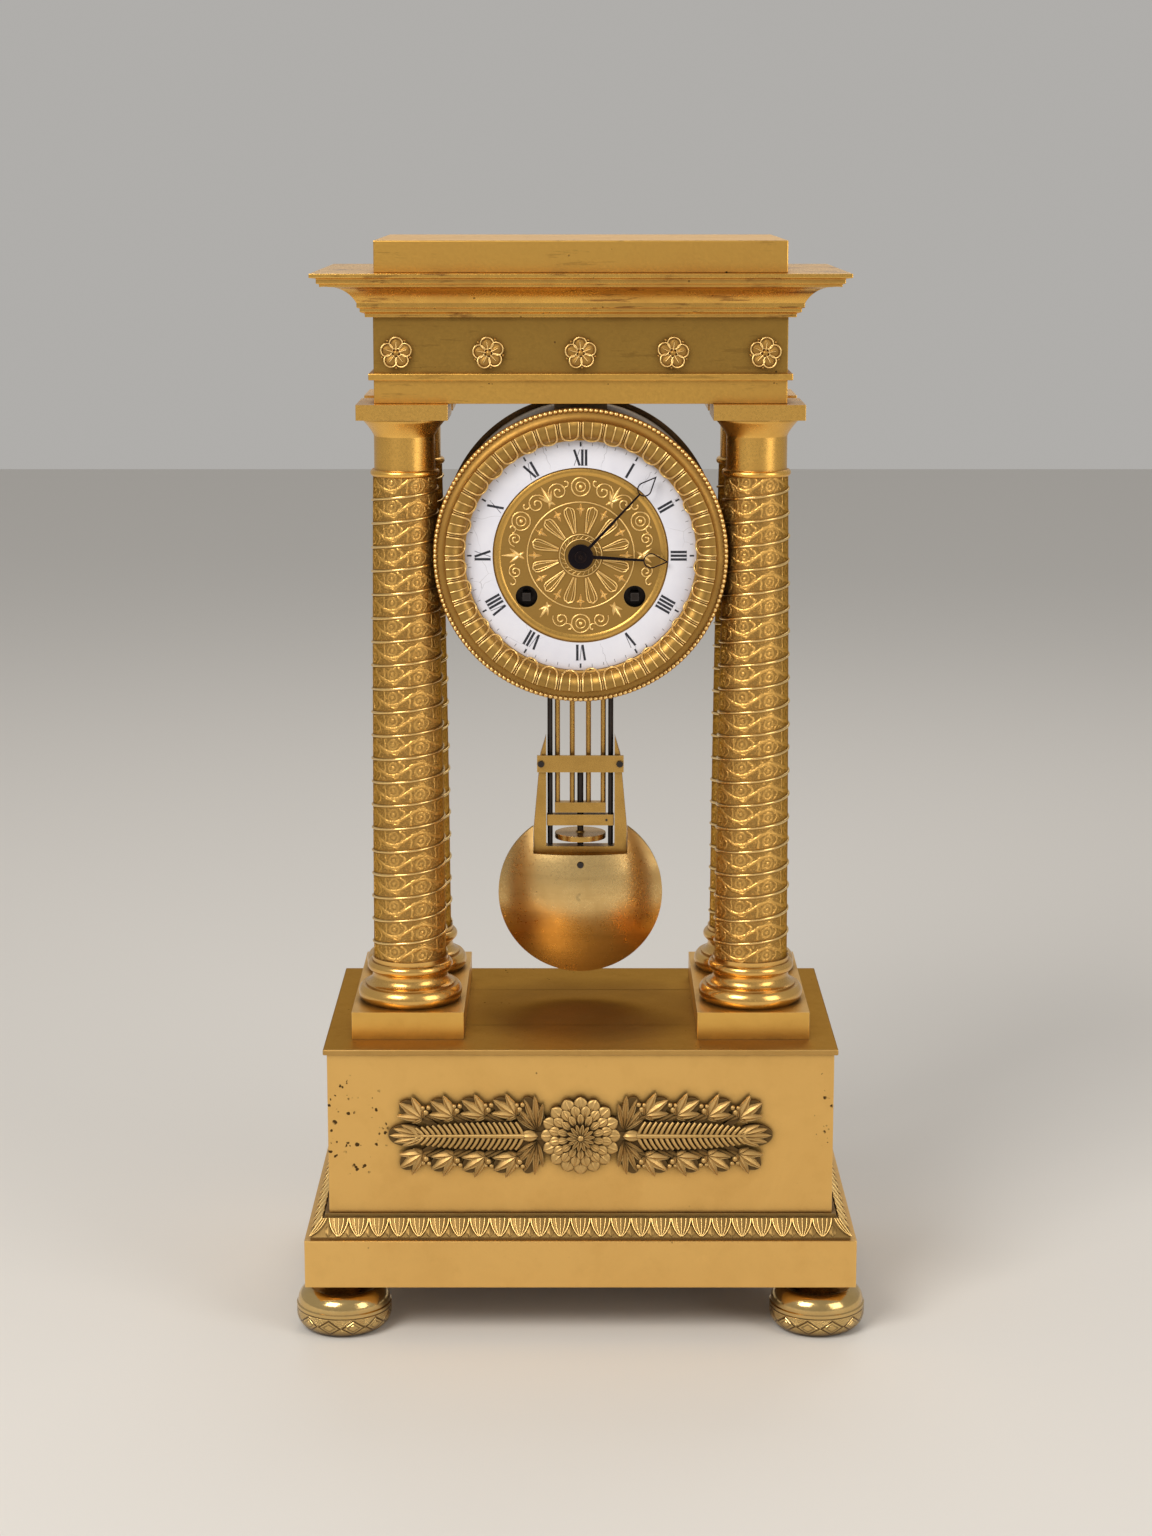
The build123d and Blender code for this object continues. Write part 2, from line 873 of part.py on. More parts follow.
# Bezel: beaded rim, hollow moulding and the rounded band round the dial
with BuildPart() as bezel:
    bezel_width = bezel_radius - bezel_sight_radius
    bezel_plane = Plane(origin=(0, 0, dial_height), x_dir=(0, 0, 1), z_dir=(-1, 0, 0))
    with BuildSketch(bezel_plane) as band:
        with BuildLine():
            last = outline(
                bezel_shares,
                bezel_width,
                -bezel_depth,
                bezel_sight_radius,
                drum_front,
            )
            first = (
                bezel_sight_radius + bezel_shares[0][0] * bezel_width,
                drum_front - bezel_shares[0][1] * bezel_depth,
            )
            Polyline(
                last,
                (bezel_sight_radius, drum_front - bezel_seat_depth),
                (bezel_seat_radius, drum_front - bezel_seat_depth),
                (bezel_seat_radius, drum_front),
                (first[0], drum_front),
                first,
            )
        make_face()
    revolve(band.sketch, axis=Axis((0, 0, dial_height), (0, 1, 0)))
save(bezel, "bezel")

# Dial: a brass plate on three feet, an enamel ring and a gilt centre
winding_places = [(side * winding_x, dial_height - winding_drop) for side in (-1, 1)]
with BuildPart() as dial_plate:
    plate_edge = drum_radius - drum_wall - dial_plate_gap
    disc(dial_plate_front, dial_plate_thickness, plate_edge, bore=dial_bore_radius)
    for angle in dial_foot_angles:
        foot_place = (
            dial_foot_place * math.cos(math.radians(angle)),
            dial_height + dial_foot_place * math.sin(math.radians(angle)),
        )
        foot_start = dial_plate_front + dial_plate_thickness
        disc(foot_start, front_plate_front - foot_start, dial_foot_radius, *foot_place)
    for place in winding_places:
        disc(
            dial_plate_front - overrun,
            dial_plate_thickness + 2 * overrun,
            winding_hole_radius,
            *place,
            mode=Mode.SUBTRACT,
        )
save(dial_plate, "dial_plate")

with BuildPart() as dial_ring:
    disc(
        dial_plate_front - dial_ring_thickness,
        dial_ring_thickness,
        bezel_seat_radius - dial_ring_gap,
        bore=dial_ring_inner,
    )
    fillet(
        dial_ring.faces().sort_by(Axis.Y)[0].edges().sort_by(SortBy.LENGTH)[-1],
        radius=dial_ring_thickness / 2,
    )
save(dial_ring, "dial_ring")

with BuildPart() as dial_centre:
    disc(
        dial_plate_front - dial_centre_thickness,
        dial_centre_thickness,
        dial_ring_inner,
        bore=dial_bore_radius,
    )
    for place in winding_places:
        disc(
            dial_plate_front - dial_centre_thickness - overrun,
            dial_centre_thickness + 2 * overrun,
            winding_hole_radius,
            *place,
            mode=Mode.SUBTRACT,
        )
save(dial_centre, "dial_centre")

# Rear ring with the hinge, and the pin that the door turns on
hinge_y = drum_back + rear_ring_thickness + hinge_knuckle_radius + easy_fit
knuckle_z = [
    dial_height - hinge_knuckle_length - hinge_gap,
    dial_height + hinge_gap,
]
with BuildPart() as rear_ring:
    disc(drum_back, rear_ring_thickness, rear_ring_radius, bore=rear_ring_inner)
    for low in knuckle_z:
        rod(hinge_x, hinge_y, low, low + hinge_knuckle_length, hinge_knuckle_radius)
        block(
            (hinge_x - hinge_knuckle_radius, drum_back + rear_ring_thickness / 2, low),
            (hinge_x + hinge_knuckle_radius, hinge_y, low + hinge_knuckle_length),
        )
    rod(
        hinge_x,
        hinge_y,
        knuckle_z[0] - overrun,
        knuckle_z[1] + hinge_knuckle_length + overrun,
        hinge_pin_radius,
        mode=Mode.SUBTRACT,
    )
save(rear_ring, "rear_ring")

with BuildPart() as hinge_pin:
    rod(
        hinge_x,
        hinge_y,
        knuckle_z[0] - hinge_knuckle_length - hinge_gap,
        knuckle_z[1] + hinge_knuckle_length + hinge_pin_radius,
        hinge_pin_radius,
    )
save(hinge_pin, "hinge_pin")

# Rear door: a plain disc inside the ring, with one hinge knuckle and a turned knob
with BuildPart() as rear_door:
    door_front = drum_back + rear_ring_thickness - rear_door_thickness
    disc(door_front, rear_door_thickness, rear_ring_inner - rear_door_gap)
    leaf_low = knuckle_z[0] - hinge_knuckle_length - hinge_gap
    leaf_high = leaf_low + hinge_knuckle_length
    rod(hinge_x, hinge_y, leaf_low, leaf_high, hinge_knuckle_radius)
    block(
        (hinge_x, hinge_y - hinge_knuckle_radius / 2, leaf_low),
        (-rear_ring_inner + hinge_knuckle_length, hinge_y + hinge_knuckle_radius / 2, leaf_high),
    )
    block(
        (
            -rear_ring_inner + 2 * rear_door_gap + hinge_knuckle_length / 2,
            drum_back + rear_ring_thickness - rear_door_thickness,
            leaf_low,
        ),
        (-rear_ring_inner + hinge_knuckle_length, hinge_y, leaf_high),
    )
    rod(
        hinge_x,
        hinge_y,
        leaf_low - overrun,
        leaf_high + overrun,
        hinge_pin_radius + running_fit,
        mode=Mode.SUBTRACT,
    )
    knob_y = drum_back + rear_ring_thickness
    disc(knob_y, door_knob_height, door_knob_radius, x=door_knob_place)
save(rear_door, "rear_door")


def place(x, z):
    """A place on the dial's plane, measured from the dial's centre."""
    return (x, dial_height + z)


def polar(x, z, radius, angle):
    """A place at a radius and an angle in degrees from another."""
    return (x + radius * math.cos(math.radians(angle)), z + radius * math.sin(math.radians(angle)))


centre = place(0, 0)
going = place(winding_x, -winding_drop)
striking = place(-winding_x, -winding_drop)
intermediate_distance = gear_tooth_module * (intermediate_teeth + centre_pinion_leaves) / 2
intermediate = polar(*centre, intermediate_distance, intermediate_angle)
third = place(*third_place)
pallet_axis = place(0, pivot_rise)
escape = place(0, pivot_rise - pallet_reach)
minute_wheel_place = polar(
    *centre,
    motion_module * (cannon_leaves + minute_teeth) / 2,
    minute_wheel_angle,
)
counting = place(*count_place)
pin_wheel_centre = place(*pin_wheel_place)
hammer_axis = place(*hammer_place)


def bearing(here, there):
    """The angle in degrees from one place to another."""
    return math.degrees(math.atan2(there[1] - here[1], there[0] - here[0]))


def toothed(front, length, teeth, module, at, phase, bore=0):
    """A toothed wheel or pinion with one tooth at the phase angle."""
    pitch_radius = module * teeth / 2
    tip = pitch_radius + module * tooth_tip_share
    root = pitch_radius - module * tooth_root_share
    step = 360 / teeth
    points = []
    for tooth in range(teeth):
        middle = phase + tooth * step
        for radius, share in (
            (root, -tooth_base_half_share),
            (tip, -tooth_top_half_share),
            (tip, tooth_top_half_share),
            (root, tooth_base_half_share),
        ):
            points.append(polar(0, 0, radius, middle + share * step))
    with BuildSketch(dial_plane(front, *at)) as profile:
        with BuildLine():
            Polyline(*points, close=True)
        make_face()
        if bore:
            Circle(bore, mode=Mode.SUBTRACT)
    extrude(profile.sketch, amount=-length)
    return root


def crossings(front, length, root, at):
    """Cut the windows that leave a wheel with a rim, a hub and four arms."""
    with BuildSketch(dial_plane(front + overrun, *at)) as windows:
        Circle(root * crossing_share)
        Circle(root * crossing_hub_share, mode=Mode.SUBTRACT)
        with PolarLocations(0, crossing_arms // 2, angular_range=180):
            Rectangle(2 * root, crossing_arm_width, mode=Mode.SUBTRACT)
    extrude(windows.sketch, amount=2 * overrun + length, both=True, mode=Mode.SUBTRACT)


def arbor(at, front=front_plate_front, back=back_plate_back):
    """A steel arbor whose thin pivots run in the two plates."""
    disc(front, back - front, pivot_radius, *at)
    inner_front = front_plate_back + easy_fit
    disc(inner_front, back_plate_front - easy_fit - inner_front, arbor_radius, *at)


# Plates, bored for every pivot, and the pillars that hold them apart
pivots = [intermediate, third, escape, pallet_axis, counting, pin_wheel_centre, hammer_axis]
pillar_places = [polar(*centre, pillar_place, angle) for angle in pillar_angles]
for plate_name, plate_front in (("front_plate", front_plate_front), ("back_plate", back_plate_front)):
    with BuildPart() as plate:
        disc(plate_front, plate_thickness, plate_radius)
        holes = [(pivot_at, pivot_radius + running_fit) for pivot_at in pivots]
        holes += [(barrel_at, barrel_arbor_radius + running_fit) for barrel_at in (going, striking)]
        holes.append((centre, arbor_radius + running_fit))
        if plate_name == "front_plate":
            holes.append((minute_wheel_place, pivot_radius))
        for hole_at, hole_radius in holes:
            disc(
                plate_front - overrun,
                plate_thickness + 2 * overrun,
                hole_radius,
                *hole_at,
                mode=Mode.SUBTRACT,
            )
    save(plate, plate_name)

with BuildPart() as pillars:
    for pillar_at in pillar_places:
        disc(front_plate_back, back_plate_front - front_plate_back, pillar_radius, *pillar_at)
save(pillars, "pillars")

# Barrels: toothed drums round their arbors; each arbor has a winding square and a ratchet
for train, at, target in (
    ("going", going, intermediate),
    ("strike", striking, counting),
):
    with BuildPart() as barrel:
        toothed(
            barrel_front - wheel_thickness,
            wheel_thickness,
            great_teeth,
            gear_tooth_module,
            at,
            bearing(at, target),
            bore=barrel_arbor_radius + running_fit,
        )
        disc(barrel_front, barrel_length, barrel_radius, *at, bore=barrel_radius - barrel_cap)
        disc(
            barrel_front + barrel_length - barrel_cap,
            barrel_cap,
            barrel_radius,
            *at,
            bore=barrel_arbor_radius + running_fit,
        )
    save(barrel, train + "_barrel")

    with BuildPart() as winding_arbor:
        disc(ratchet_front, back_plate_back - ratchet_front, barrel_arbor_radius, *at)
        with BuildSketch(dial_plane(winding_square_front, *at)) as square:
            Rectangle(winding_square_width, winding_square_width)
        extrude(square.sketch, amount=winding_square_front - ratchet_front)
        ratchet_points = []
        for tooth in range(ratchet_teeth):
            step = 360 / ratchet_teeth
            ratchet_points.append(polar(0, 0, ratchet_radius, tooth * step))
            ratchet_points.append(polar(0, 0, ratchet_radius * ratchet_root_share, tooth * step))
        with BuildSketch(dial_plane(ratchet_front, *at)) as ratchet:
            with BuildLine():
                Polyline(*ratchet_points, close=True)
            make_face()
        extrude(ratchet.sketch, amount=-wheel_thickness)
    save(winding_arbor, train + "_winding_arbor")

# Going train: intermediate, centre and third wheels, each a wheel and a pinion on one arbor
with BuildPart() as intermediate_wheel:
    arbor(intermediate)
    toothed(
        barrel_front - wheel_thickness - pinion_length / 4,
        pinion_length,
        great_pinion_leaves,
        gear_tooth_module,
        intermediate,
        bearing(intermediate, going) + 180 / great_pinion_leaves,
    )
    root = toothed(
        intermediate_wheel_front,
        wheel_thickness,
        intermediate_teeth,
        gear_tooth_module,
        intermediate,
        bearing(intermediate, centre),
    )
    crossings(intermediate_wheel_front, wheel_thickness, root, intermediate)
save(intermediate_wheel, "intermediate_wheel")

with BuildPart() as centre_wheel:
    disc(cannon_gear_front, back_plate_back - cannon_gear_front, arbor_radius, *centre)
    toothed(
        intermediate_wheel_front - pinion_length / 4,
        pinion_length,
        centre_pinion_leaves,
        gear_tooth_module,
        centre,
        bearing(centre, intermediate) + 180 / centre_pinion_leaves,
    )
    root = toothed(
        centre_wheel_front,
        wheel_thickness,
        centre_teeth,
        gear_tooth_module,
        centre,
        bearing(centre, third),
    )
    crossings(centre_wheel_front, wheel_thickness, root, centre)
save(centre_wheel, "centre_wheel")

with BuildPart() as third_wheel:
    arbor(third)
    toothed(
        centre_wheel_front - pinion_length / 4,
        pinion_length,
        third_pinion_leaves,
        gear_tooth_module,
        third,
        bearing(third, centre) + 180 / third_pinion_leaves,
    )
    root = toothed(
        third_wheel_front,
        wheel_thickness,
        third_teeth,
        gear_tooth_module,
        third,
        bearing(third, escape),
    )
    crossings(third_wheel_front, wheel_thickness, root, third)
save(third_wheel, "third_wheel")

# Escape wheel with raked teeth, and the anchor that stands over it
with BuildPart() as escape_wheel:
    arbor(escape)
    toothed(
        third_wheel_front - pinion_length / 4,
        pinion_length,
        escape_pinion_leaves,
        gear_tooth_module,
        escape,
        bearing(escape, third) + 180 / escape_pinion_leaves,
    )
    escape_points = []
    for tooth in range(escape_teeth):
        step = 360 / escape_teeth
        escape_points.append(polar(0, 0, escape_radius, tooth * step))
        for share in escape_gullet_shares:
            gullet_radius = escape_radius * escape_root_share
            escape_points.append(polar(0, 0, gullet_radius, (tooth + share) * step))
    with BuildSketch(dial_plane(escape_wheel_front, *escape)) as escape_profile:
        with BuildLine():
            Polyline(*escape_points, close=True)
        make_face()
    extrude(escape_profile.sketch, amount=-wheel_thickness)
save(escape_wheel, "escape_wheel")

# Pallets: the anchor on its arbor, and the crutch whose pin drives the pendulum
with BuildPart() as pallets:
    disc(
        front_plate_front,
        crutch_front + crutch_thickness - front_plate_front,
        pivot_radius,
        *pallet_axis,
    )
    inner_front = front_plate_back + easy_fit
    disc(inner_front, back_plate_front - easy_fit - inner_front, arbor_radius, *pallet_axis)
    nib_circle = escape_radius + pallet_gap
    with BuildSketch(dial_plane(escape_wheel_front, *pallet_axis)) as anchor:
        Circle(pallet_width)
        for side in (-1, 1):
            nib_side = 90 - side * pallet_span
            toe_side = 90 - side * (pallet_span + pallet_toe)
            with BuildLine():
                Polyline(
                    (0, pallet_width),
                    polar(0, -pallet_reach, nib_circle + pallet_nib_width, nib_side),
                    polar(0, -pallet_reach, nib_circle + pallet_nib_width, toe_side),
                    polar(0, -pallet_reach, nib_circle, toe_side),
                    polar(0, -pallet_reach, nib_circle, nib_side),
                    (0, -pallet_width / 2),
                    close=True,
                )
            make_face()
    extrude(anchor.sketch, amount=-wheel_thickness)
    with BuildSketch(dial_plane(crutch_front, *pallet_axis)) as crutch:
        Circle(pallet_width)
        with Locations((0, -crutch_length / 2)):
            Rectangle(crutch_width, crutch_length)
    extrude(crutch.sketch, amount=-crutch_thickness)
    crutch_pin_z = pivot_z - grid_top_drop - grid_bar_height / 2
    disc(
        crutch_front + crutch_thickness / 2,
        pendulum_y + grid_bar_thickness / 2 - crutch_front - crutch_thickness / 2,
        crutch_pin_radius,
        0,
        crutch_pin_z,
    )
save(pallets, "pallets")

# Motion works: cannon pinion, minute wheel and hour wheel between plate and dial
with BuildPart() as cannon_pinion:
    cannon_gear_length = front_plate_front - easy_fit - cannon_gear_front
    disc(
        cannon_front,
        cannon_gear_front - cannon_front,
        cannon_radius,
    )
    toothed(
        cannon_gear_front,
        cannon_gear_length,
        cannon_leaves,
        motion_module,
        centre,
        minute_wheel_angle,
    )
    disc(
        cannon_gear_front - overrun,
        cannon_gear_length + 2 * overrun,
        arbor_radius + running_fit,
        mode=Mode.SUBTRACT,
    )
save(cannon_pinion, "cannon_pinion")

with BuildPart() as minute_wheel:
    minute_pinion_front = hour_wheel_front - easy_fit
    toothed(
        minute_wheel_front,
        wheel_thickness,
        minute_teeth,
        motion_module,
        minute_wheel_place,
        minute_wheel_angle + 180 + 180 / minute_teeth,
    )
    toothed(
        minute_pinion_front,
        minute_wheel_front - minute_pinion_front,
        minute_pinion_leaves,
        motion_module,
        minute_wheel_place,
        minute_wheel_angle + 180,
    )
    disc(
        minute_pinion_front,
        front_plate_back - minute_pinion_front,
        pivot_radius - running_fit,
        *minute_wheel_place,
    )
save(minute_wheel, "minute_wheel")

with BuildPart() as hour_wheel:
    toothed(
        hour_wheel_front,
        wheel_thickness,
        hour_teeth,
        motion_module,
        centre,
        minute_wheel_angle + 180 / hour_teeth,
    )
    disc(hour_pipe_front, cannon_gear_front - easy_fit - hour_pipe_front, hour_pipe_radius)
    disc(
        hour_pipe_front - overrun,
        cannon_gear_front - hour_pipe_front + 2 * overrun,
        cannon_radius + running_fit,
        mode=Mode.SUBTRACT,
    )
save(hour_wheel, "hour_wheel")


# Hands: blued steel, each with an open drop that is drawn out to the tip
def hand(front, length, ring_place, ring_radius, width, angle, hub_radius):
    """A hand that points at an angle clockwise from twelve."""
    toward = 90 - angle
    point_length = length - ring_place
    touch = math.acos(ring_radius / point_length)

    def at(distance, aside):
        x, z = polar(0, 0, distance, toward)
        return polar(x, z, aside, toward + 90)

    with BuildSketch(dial_plane(front)) as profile:
        Circle(hub_radius)
        with BuildLine():
            Polyline(
                at(0, -width / 2),
                at(ring_place, -width / 4),
                at(ring_place, width / 4),
                at(0, width / 2),
                close=True,
            )
        make_face()
        for size_share, mode in ((1, Mode.ADD), (1 - ring_wall / ring_radius, Mode.SUBTRACT)):
            radius = ring_radius * size_share
            along = ring_place + radius * math.cos(touch)
            aside = radius * math.sin(touch)
            with Locations(at(ring_place, 0)):
                Circle(radius, mode=mode)
            with BuildLine():
                Polyline(
                    at(ring_place, 0),
                    at(along, -aside),
                    at(ring_place + point_length * size_share, 0),
                    at(along, aside),
                    close=True,
                )
            make_face(mode=mode)
    extrude(profile.sketch, amount=hand_thickness)


with BuildPart() as minute_hand:
    hand(
        minute_hand_front,
        minute_length,
        minute_ring_place,
        minute_ring_radius,
        minute_width,
        minute_angle,
        hand_hub_radius,
    )
    disc(minute_hand_front - 2 * hand_thickness, hand_thickness, hour_pipe_radius)
save(minute_hand, "minute_hand")

with BuildPart() as hour_hand:
    hand(
        hour_hand_front,
        hour_length,
        hour_ring_place,
        hour_ring_radius,
        hour_width,
        hour_angle,
        hour_pipe_radius + hand_thickness,
    )
    disc(
        hour_hand_front - hand_thickness - overrun,
        hand_thickness + 2 * overrun,
        cannon_radius + running_fit,
        mode=Mode.SUBTRACT,
    )
save(hour_hand, "hour_hand")

# Striking train: the count wheel with its driving wheel, and the pin wheel
with BuildPart() as count_wheel:
    arbor(counting, back=count_disc_front)
    toothed(
        barrel_front - wheel_thickness - pinion_length / 4,
        pinion_length,
        great_pinion_leaves,
        gear_tooth_module,
        counting,
        bearing(counting, striking) + 180 / great_pinion_leaves,
    )
    root = toothed(
        count_wheel_front,
        wheel_thickness,
        count_teeth,
        count_module,
        counting,
        bearing(counting, pin_wheel_centre),
    )
    crossings(count_wheel_front, wheel_thickness, root, counting)
    with BuildSketch(dial_plane(count_disc_front, *counting)) as count_disc:
        Circle(count_disc_radius)
        # The gaps between notches grow with the hours, from one blow to twelve
        blows = 0
        total_blows = sum(range(1, count_notches + 1)) + count_notches
        for hour in range(1, count_notches + 1):
            notch_angle = 360 * blows / total_blows
            with Locations(polar(0, 0, count_disc_radius, notch_angle)):
                Rectangle(
                    2 * count_notch_depth,
                    count_notch_width,
                    rotation=notch_angle,
                    mode=Mode.SUBTRACT,
                )
            blows += hour + 1
    extrude(count_disc.sketch, amount=-wheel_thickness)
save(count_wheel, "count_wheel")

with BuildPart() as pin_wheel:
    arbor(pin_wheel_centre)
    toothed(
        count_wheel_front - pinion_length / 4,
        wheel_thickness + pinion_length / 2,
        pin_pinion_leaves,
        count_module,
        pin_wheel_centre,
        bearing(pin_wheel_centre, counting) + 180 / pin_pinion_leaves,
    )
    disc(pin_wheel_front, wheel_thickness, pin_wheel_radius, *pin_wheel_centre)
    for pin in range(pin_wheel_pins):
        pin_at = polar(
            *pin_wheel_centre,
            pin_wheel_radius - 2 * pin_radius,
            360 * pin / pin_wheel_pins,
        )
        disc(pin_wheel_front - pin_length, pin_length, pin_radius, *pin_at)
save(pin_wheel, "pin_wheel")


def strap(front, thickness, width, here, there):
    """A flat bar with round ends between two places, facing the front."""
    with BuildSketch(dial_plane(front, 0, 0)) as bar:
        middle = ((here[0] + there[0]) / 2, (here[1] + there[1]) / 2)
        length = math.dist(here, there)
        with Locations(middle):
            SlotCenterToCenter(length, width, rotation=bearing(here, there))
    extrude(bar.sketch, amount=-thickness)


# Hammer: arbor, tail in the path of the pins, arm and head beside the bell's rim
head_at = place(*hammer_head_place)
tail_at = polar(*hammer_axis, hammer_tail_length, bearing(hammer_axis, pin_wheel_centre))
with BuildPart() as hammer:
    arbor(hammer_axis, back=hammer_head_front)
    strap(hammer_tail_y, hammer_arm_thickness, hammer_arm_width, hammer_axis, tail_at)
    strap(hammer_head_front, hammer_arm_thickness, hammer_arm_width, hammer_axis, head_at)
    disc(hammer_head_front, hammer_head_length, hammer_head_radius, *head_at)
save(hammer, "hammer")

# Bell on its stand; the screw clamps its crown to the arm
bell_at = place(0, -bell_drop)
with BuildPart() as bell:
    bell_plane = Plane(origin=(bell_at[0], 0, bell_at[1]), x_dir=(0, 0, 1), z_dir=(-1, 0, 0))
    crown_y = bell_mouth + bell_depth
    with BuildSketch(bell_plane) as cup:
        with BuildLine():
            for inset in (0, bell_wall):
                TangentArc(
                    (bell_crown_radius, crown_y - inset),
                    (bell_radius - inset, bell_mouth),
                    tangent=(1, 0),
                )
            Line((bell_radius, bell_mouth), (bell_radius - bell_wall, bell_mouth))
            Polyline(
                (bell_crown_radius, crown_y),
                (bell_screw_radius / 2, crown_y),
                (bell_screw_radius / 2, crown_y - bell_wall),
                (bell_crown_radius, crown_y - bell_wall),
            )
        make_face()
    revolve(cup.sketch, axis=Axis((0, 0, bell_at[1]), (0, 1, 0)))
save(bell, "bell")

with BuildPart() as bell_stand:
    stand_at = place(stand_x, -stand_drop)
    arm_back = crown_y + stand_arm_thickness
    disc(back_plate_back, arm_back - back_plate_back, stand_radius, *stand_at)
    strap(crown_y, stand_arm_thickness, stand_arm_width, stand_at, bell_at)
    nut_y = crown_y - bell_wall - bell_screw_height
    disc(nut_y, arm_back - nut_y, bell_screw_radius / 2, *bell_at)
    disc(nut_y, bell_screw_height, bell_screw_radius, *bell_at)
    disc(arm_back, bell_screw_height, bell_screw_radius, *bell_at)
save(bell_stand, "bell_stand")

# Suspension: a cock on the back plate and the spring strip that hangs in its jaw
with BuildPart() as suspension_cock:
    cock_z = pivot_z + pallet_width + easy_fit
    jaw_back = pendulum_y + cock_jaw_depth / 2
    block(
        (-cock_width / 2, back_plate_back, cock_z),
        (cock_width / 2, back_plate_back + cock_thickness, cock_z + cock_rise),
    )
    block(
        (-cock_width / 2, back_plate_back, cock_z),
        (cock_width / 2, jaw_back, cock_z + cock_thickness),
    )
    block(
        (-cock_width / 4, pendulum_y - cock_jaw_depth / 2, pivot_z + spring_top / 2),
        (cock_width / 4, jaw_back, cock_z),
    )
    block(
        (-cock_slit / 2, pendulum_y - cock_jaw_depth, pivot_z),
        (cock_slit / 2, jaw_back + overrun, pivot_z + spring_top + easy_fit),
        mode=Mode.SUBTRACT,
    )
save(suspension_cock, "suspension_cock")

grid_front = pendulum_y - grid_bar_thickness / 2
grid_back = pendulum_y + grid_bar_thickness / 2
grid_top = pivot_z - grid_top_drop
with BuildPart() as suspension_spring:
    spring_low = pivot_z + spring_top - spring_length
    block(
        (-spring_thickness / 2, pendulum_y - spring_width / 2, spring_low),
        (spring_thickness / 2, pendulum_y + spring_width / 2, pivot_z + spring_top),
    )
    block(
        (-spring_width / 2, grid_front, spring_low - spring_width / 2),
        (spring_width / 2, grid_back, spring_low + spring_width / 2),
    )
    rod(0, pendulum_y, grid_top, spring_low, rating_rod_radius)
save(suspension_spring, "suspension_spring")

# Gridiron: bars that tie the rods, steel rods outside and brass rods between
with BuildPart() as grid_bars:
    block(
        (-grid_bar_width / 2, grid_front, grid_top - grid_bar_height),
        (grid_bar_width / 2, grid_back, grid_top),
    )
    block(
        (
            -crutch_pin_radius - easy_fit,
            grid_front - overrun,
            crutch_pin_z - 2 * crutch_pin_radius,
        ),
        (
            crutch_pin_radius + easy_fit,
            grid_back + overrun,
            crutch_pin_z + 2 * crutch_pin_radius,
        ),
        mode=Mode.SUBTRACT,
    )
    for low, width, height in (
        (brass_end_bar_z, brass_end_bar_width, brass_end_bar_height),
        (steel_end_bar_z, steel_end_bar_width, steel_end_bar_height),
    ):
        block((-width / 2, grid_front, low), (width / 2, grid_back, low + height))
        rod(
            0,
            pendulum_y,
            low - overrun / 2,
            low + height + overrun / 2,
            rating_rod_radius + running_fit,
            mode=Mode.SUBTRACT,
        )
    for side in (-1, 1):
        rod(
            side * steel_rod_x,
            pendulum_y,
            steel_end_bar_z - overrun,
            steel_end_bar_z + steel_end_bar_height + overrun,
            steel_rod_radius + running_fit,
            mode=Mode.SUBTRACT,
        )
save(grid_bars, "grid_bars")

stirrup_floor_z = stirrup_foot_z + stirrup_foot_height
with BuildPart() as steel_rods:
    for side in (-1, 1):
        rod(
            side * steel_rod_x,
            pendulum_y,
            stirrup_floor_z + easy_fit,
            grid_top - grid_bar_height,
            steel_rod_radius,
        )
    rod(0, pendulum_y, stirrup_floor_z + easy_fit, stirrup_bar_z, rating_rod_radius)
save(steel_rods, "steel_rods")

with BuildPart() as brass_rods:
    for side in (-1, 1):
        for rod_x in brass_rod_x:
            rod(
                side * rod_x,
                pendulum_y,
                brass_end_bar_z + brass_end_bar_height,
                grid_top - grid_bar_height,
                brass_rod_radius,
            )
save(brass_rods, "brass_rods")

# Stirrup: the frame that stands on the bob, with tapered cheeks and a pinned bar across
stirrup_front = pendulum_y - stirrup_depth / 2
with BuildPart() as bob_stirrup:
    with BuildSketch(dial_plane(stirrup_front, 0, 0)) as frame:
        with Locations((0, stirrup_foot_z + stirrup_foot_height / 2)):
            Rectangle(stirrup_foot_width, stirrup_foot_height)
        for side in (-1, 1):
            foot_x_half = side * stirrup_foot_width / 2
            inner = side * stirrup_inner_width / 2
            head = side * stirrup_head_width / 2
            with BuildLine():
                Polyline(
                    (inner, stirrup_foot_z),
                    (foot_x_half, stirrup_foot_z),
                    (foot_x_half, stirrup_block_z),
                    (head, stirrup_bar_z + stirrup_bar_height),
                    (inner, stirrup_tip_z),
                    close=True,
                )
            make_face()
    extrude(frame.sketch, amount=-stirrup_depth)
save(bob_stirrup, "bob_stirrup")

with BuildPart() as stirrup_bar:
    bar_front = stirrup_front - stirrup_bar_thickness
    block(
        (-stirrup_bar_width / 2, bar_front, stirrup_bar_z),
        (stirrup_bar_width / 2, stirrup_front, stirrup_bar_z + stirrup_bar_height),
    )
    for side in (-1, 1):
        disc(
            bar_front - stirrup_pin_proud,
            stirrup_pin_proud,
            stirrup_pin_radius,
            side * stirrup_pin_x,
            stirrup_bar_z + stirrup_bar_height / 2,
        )
save(stirrup_bar, "stirrup_bar")

# Rating nut: a milled disc with a domed collar on the threaded rod
with BuildPart() as rating_nut:
    rod(0, pendulum_y, rating_nut_z, rating_nut_z + rating_nut_height, rating_nut_radius)
    with Locations((0, pendulum_y, rating_nut_z + rating_nut_height)):
        Sphere(rating_dome_radius, arc_size1=0)
    rod(
        0,
        pendulum_y,
        rating_nut_z - overrun,
        rating_nut_z + rating_nut_height + rating_dome_radius + overrun,
        rating_rod_radius + running_fit,
        mode=Mode.SUBTRACT,
    )
save(rating_nut, "rating_nut")

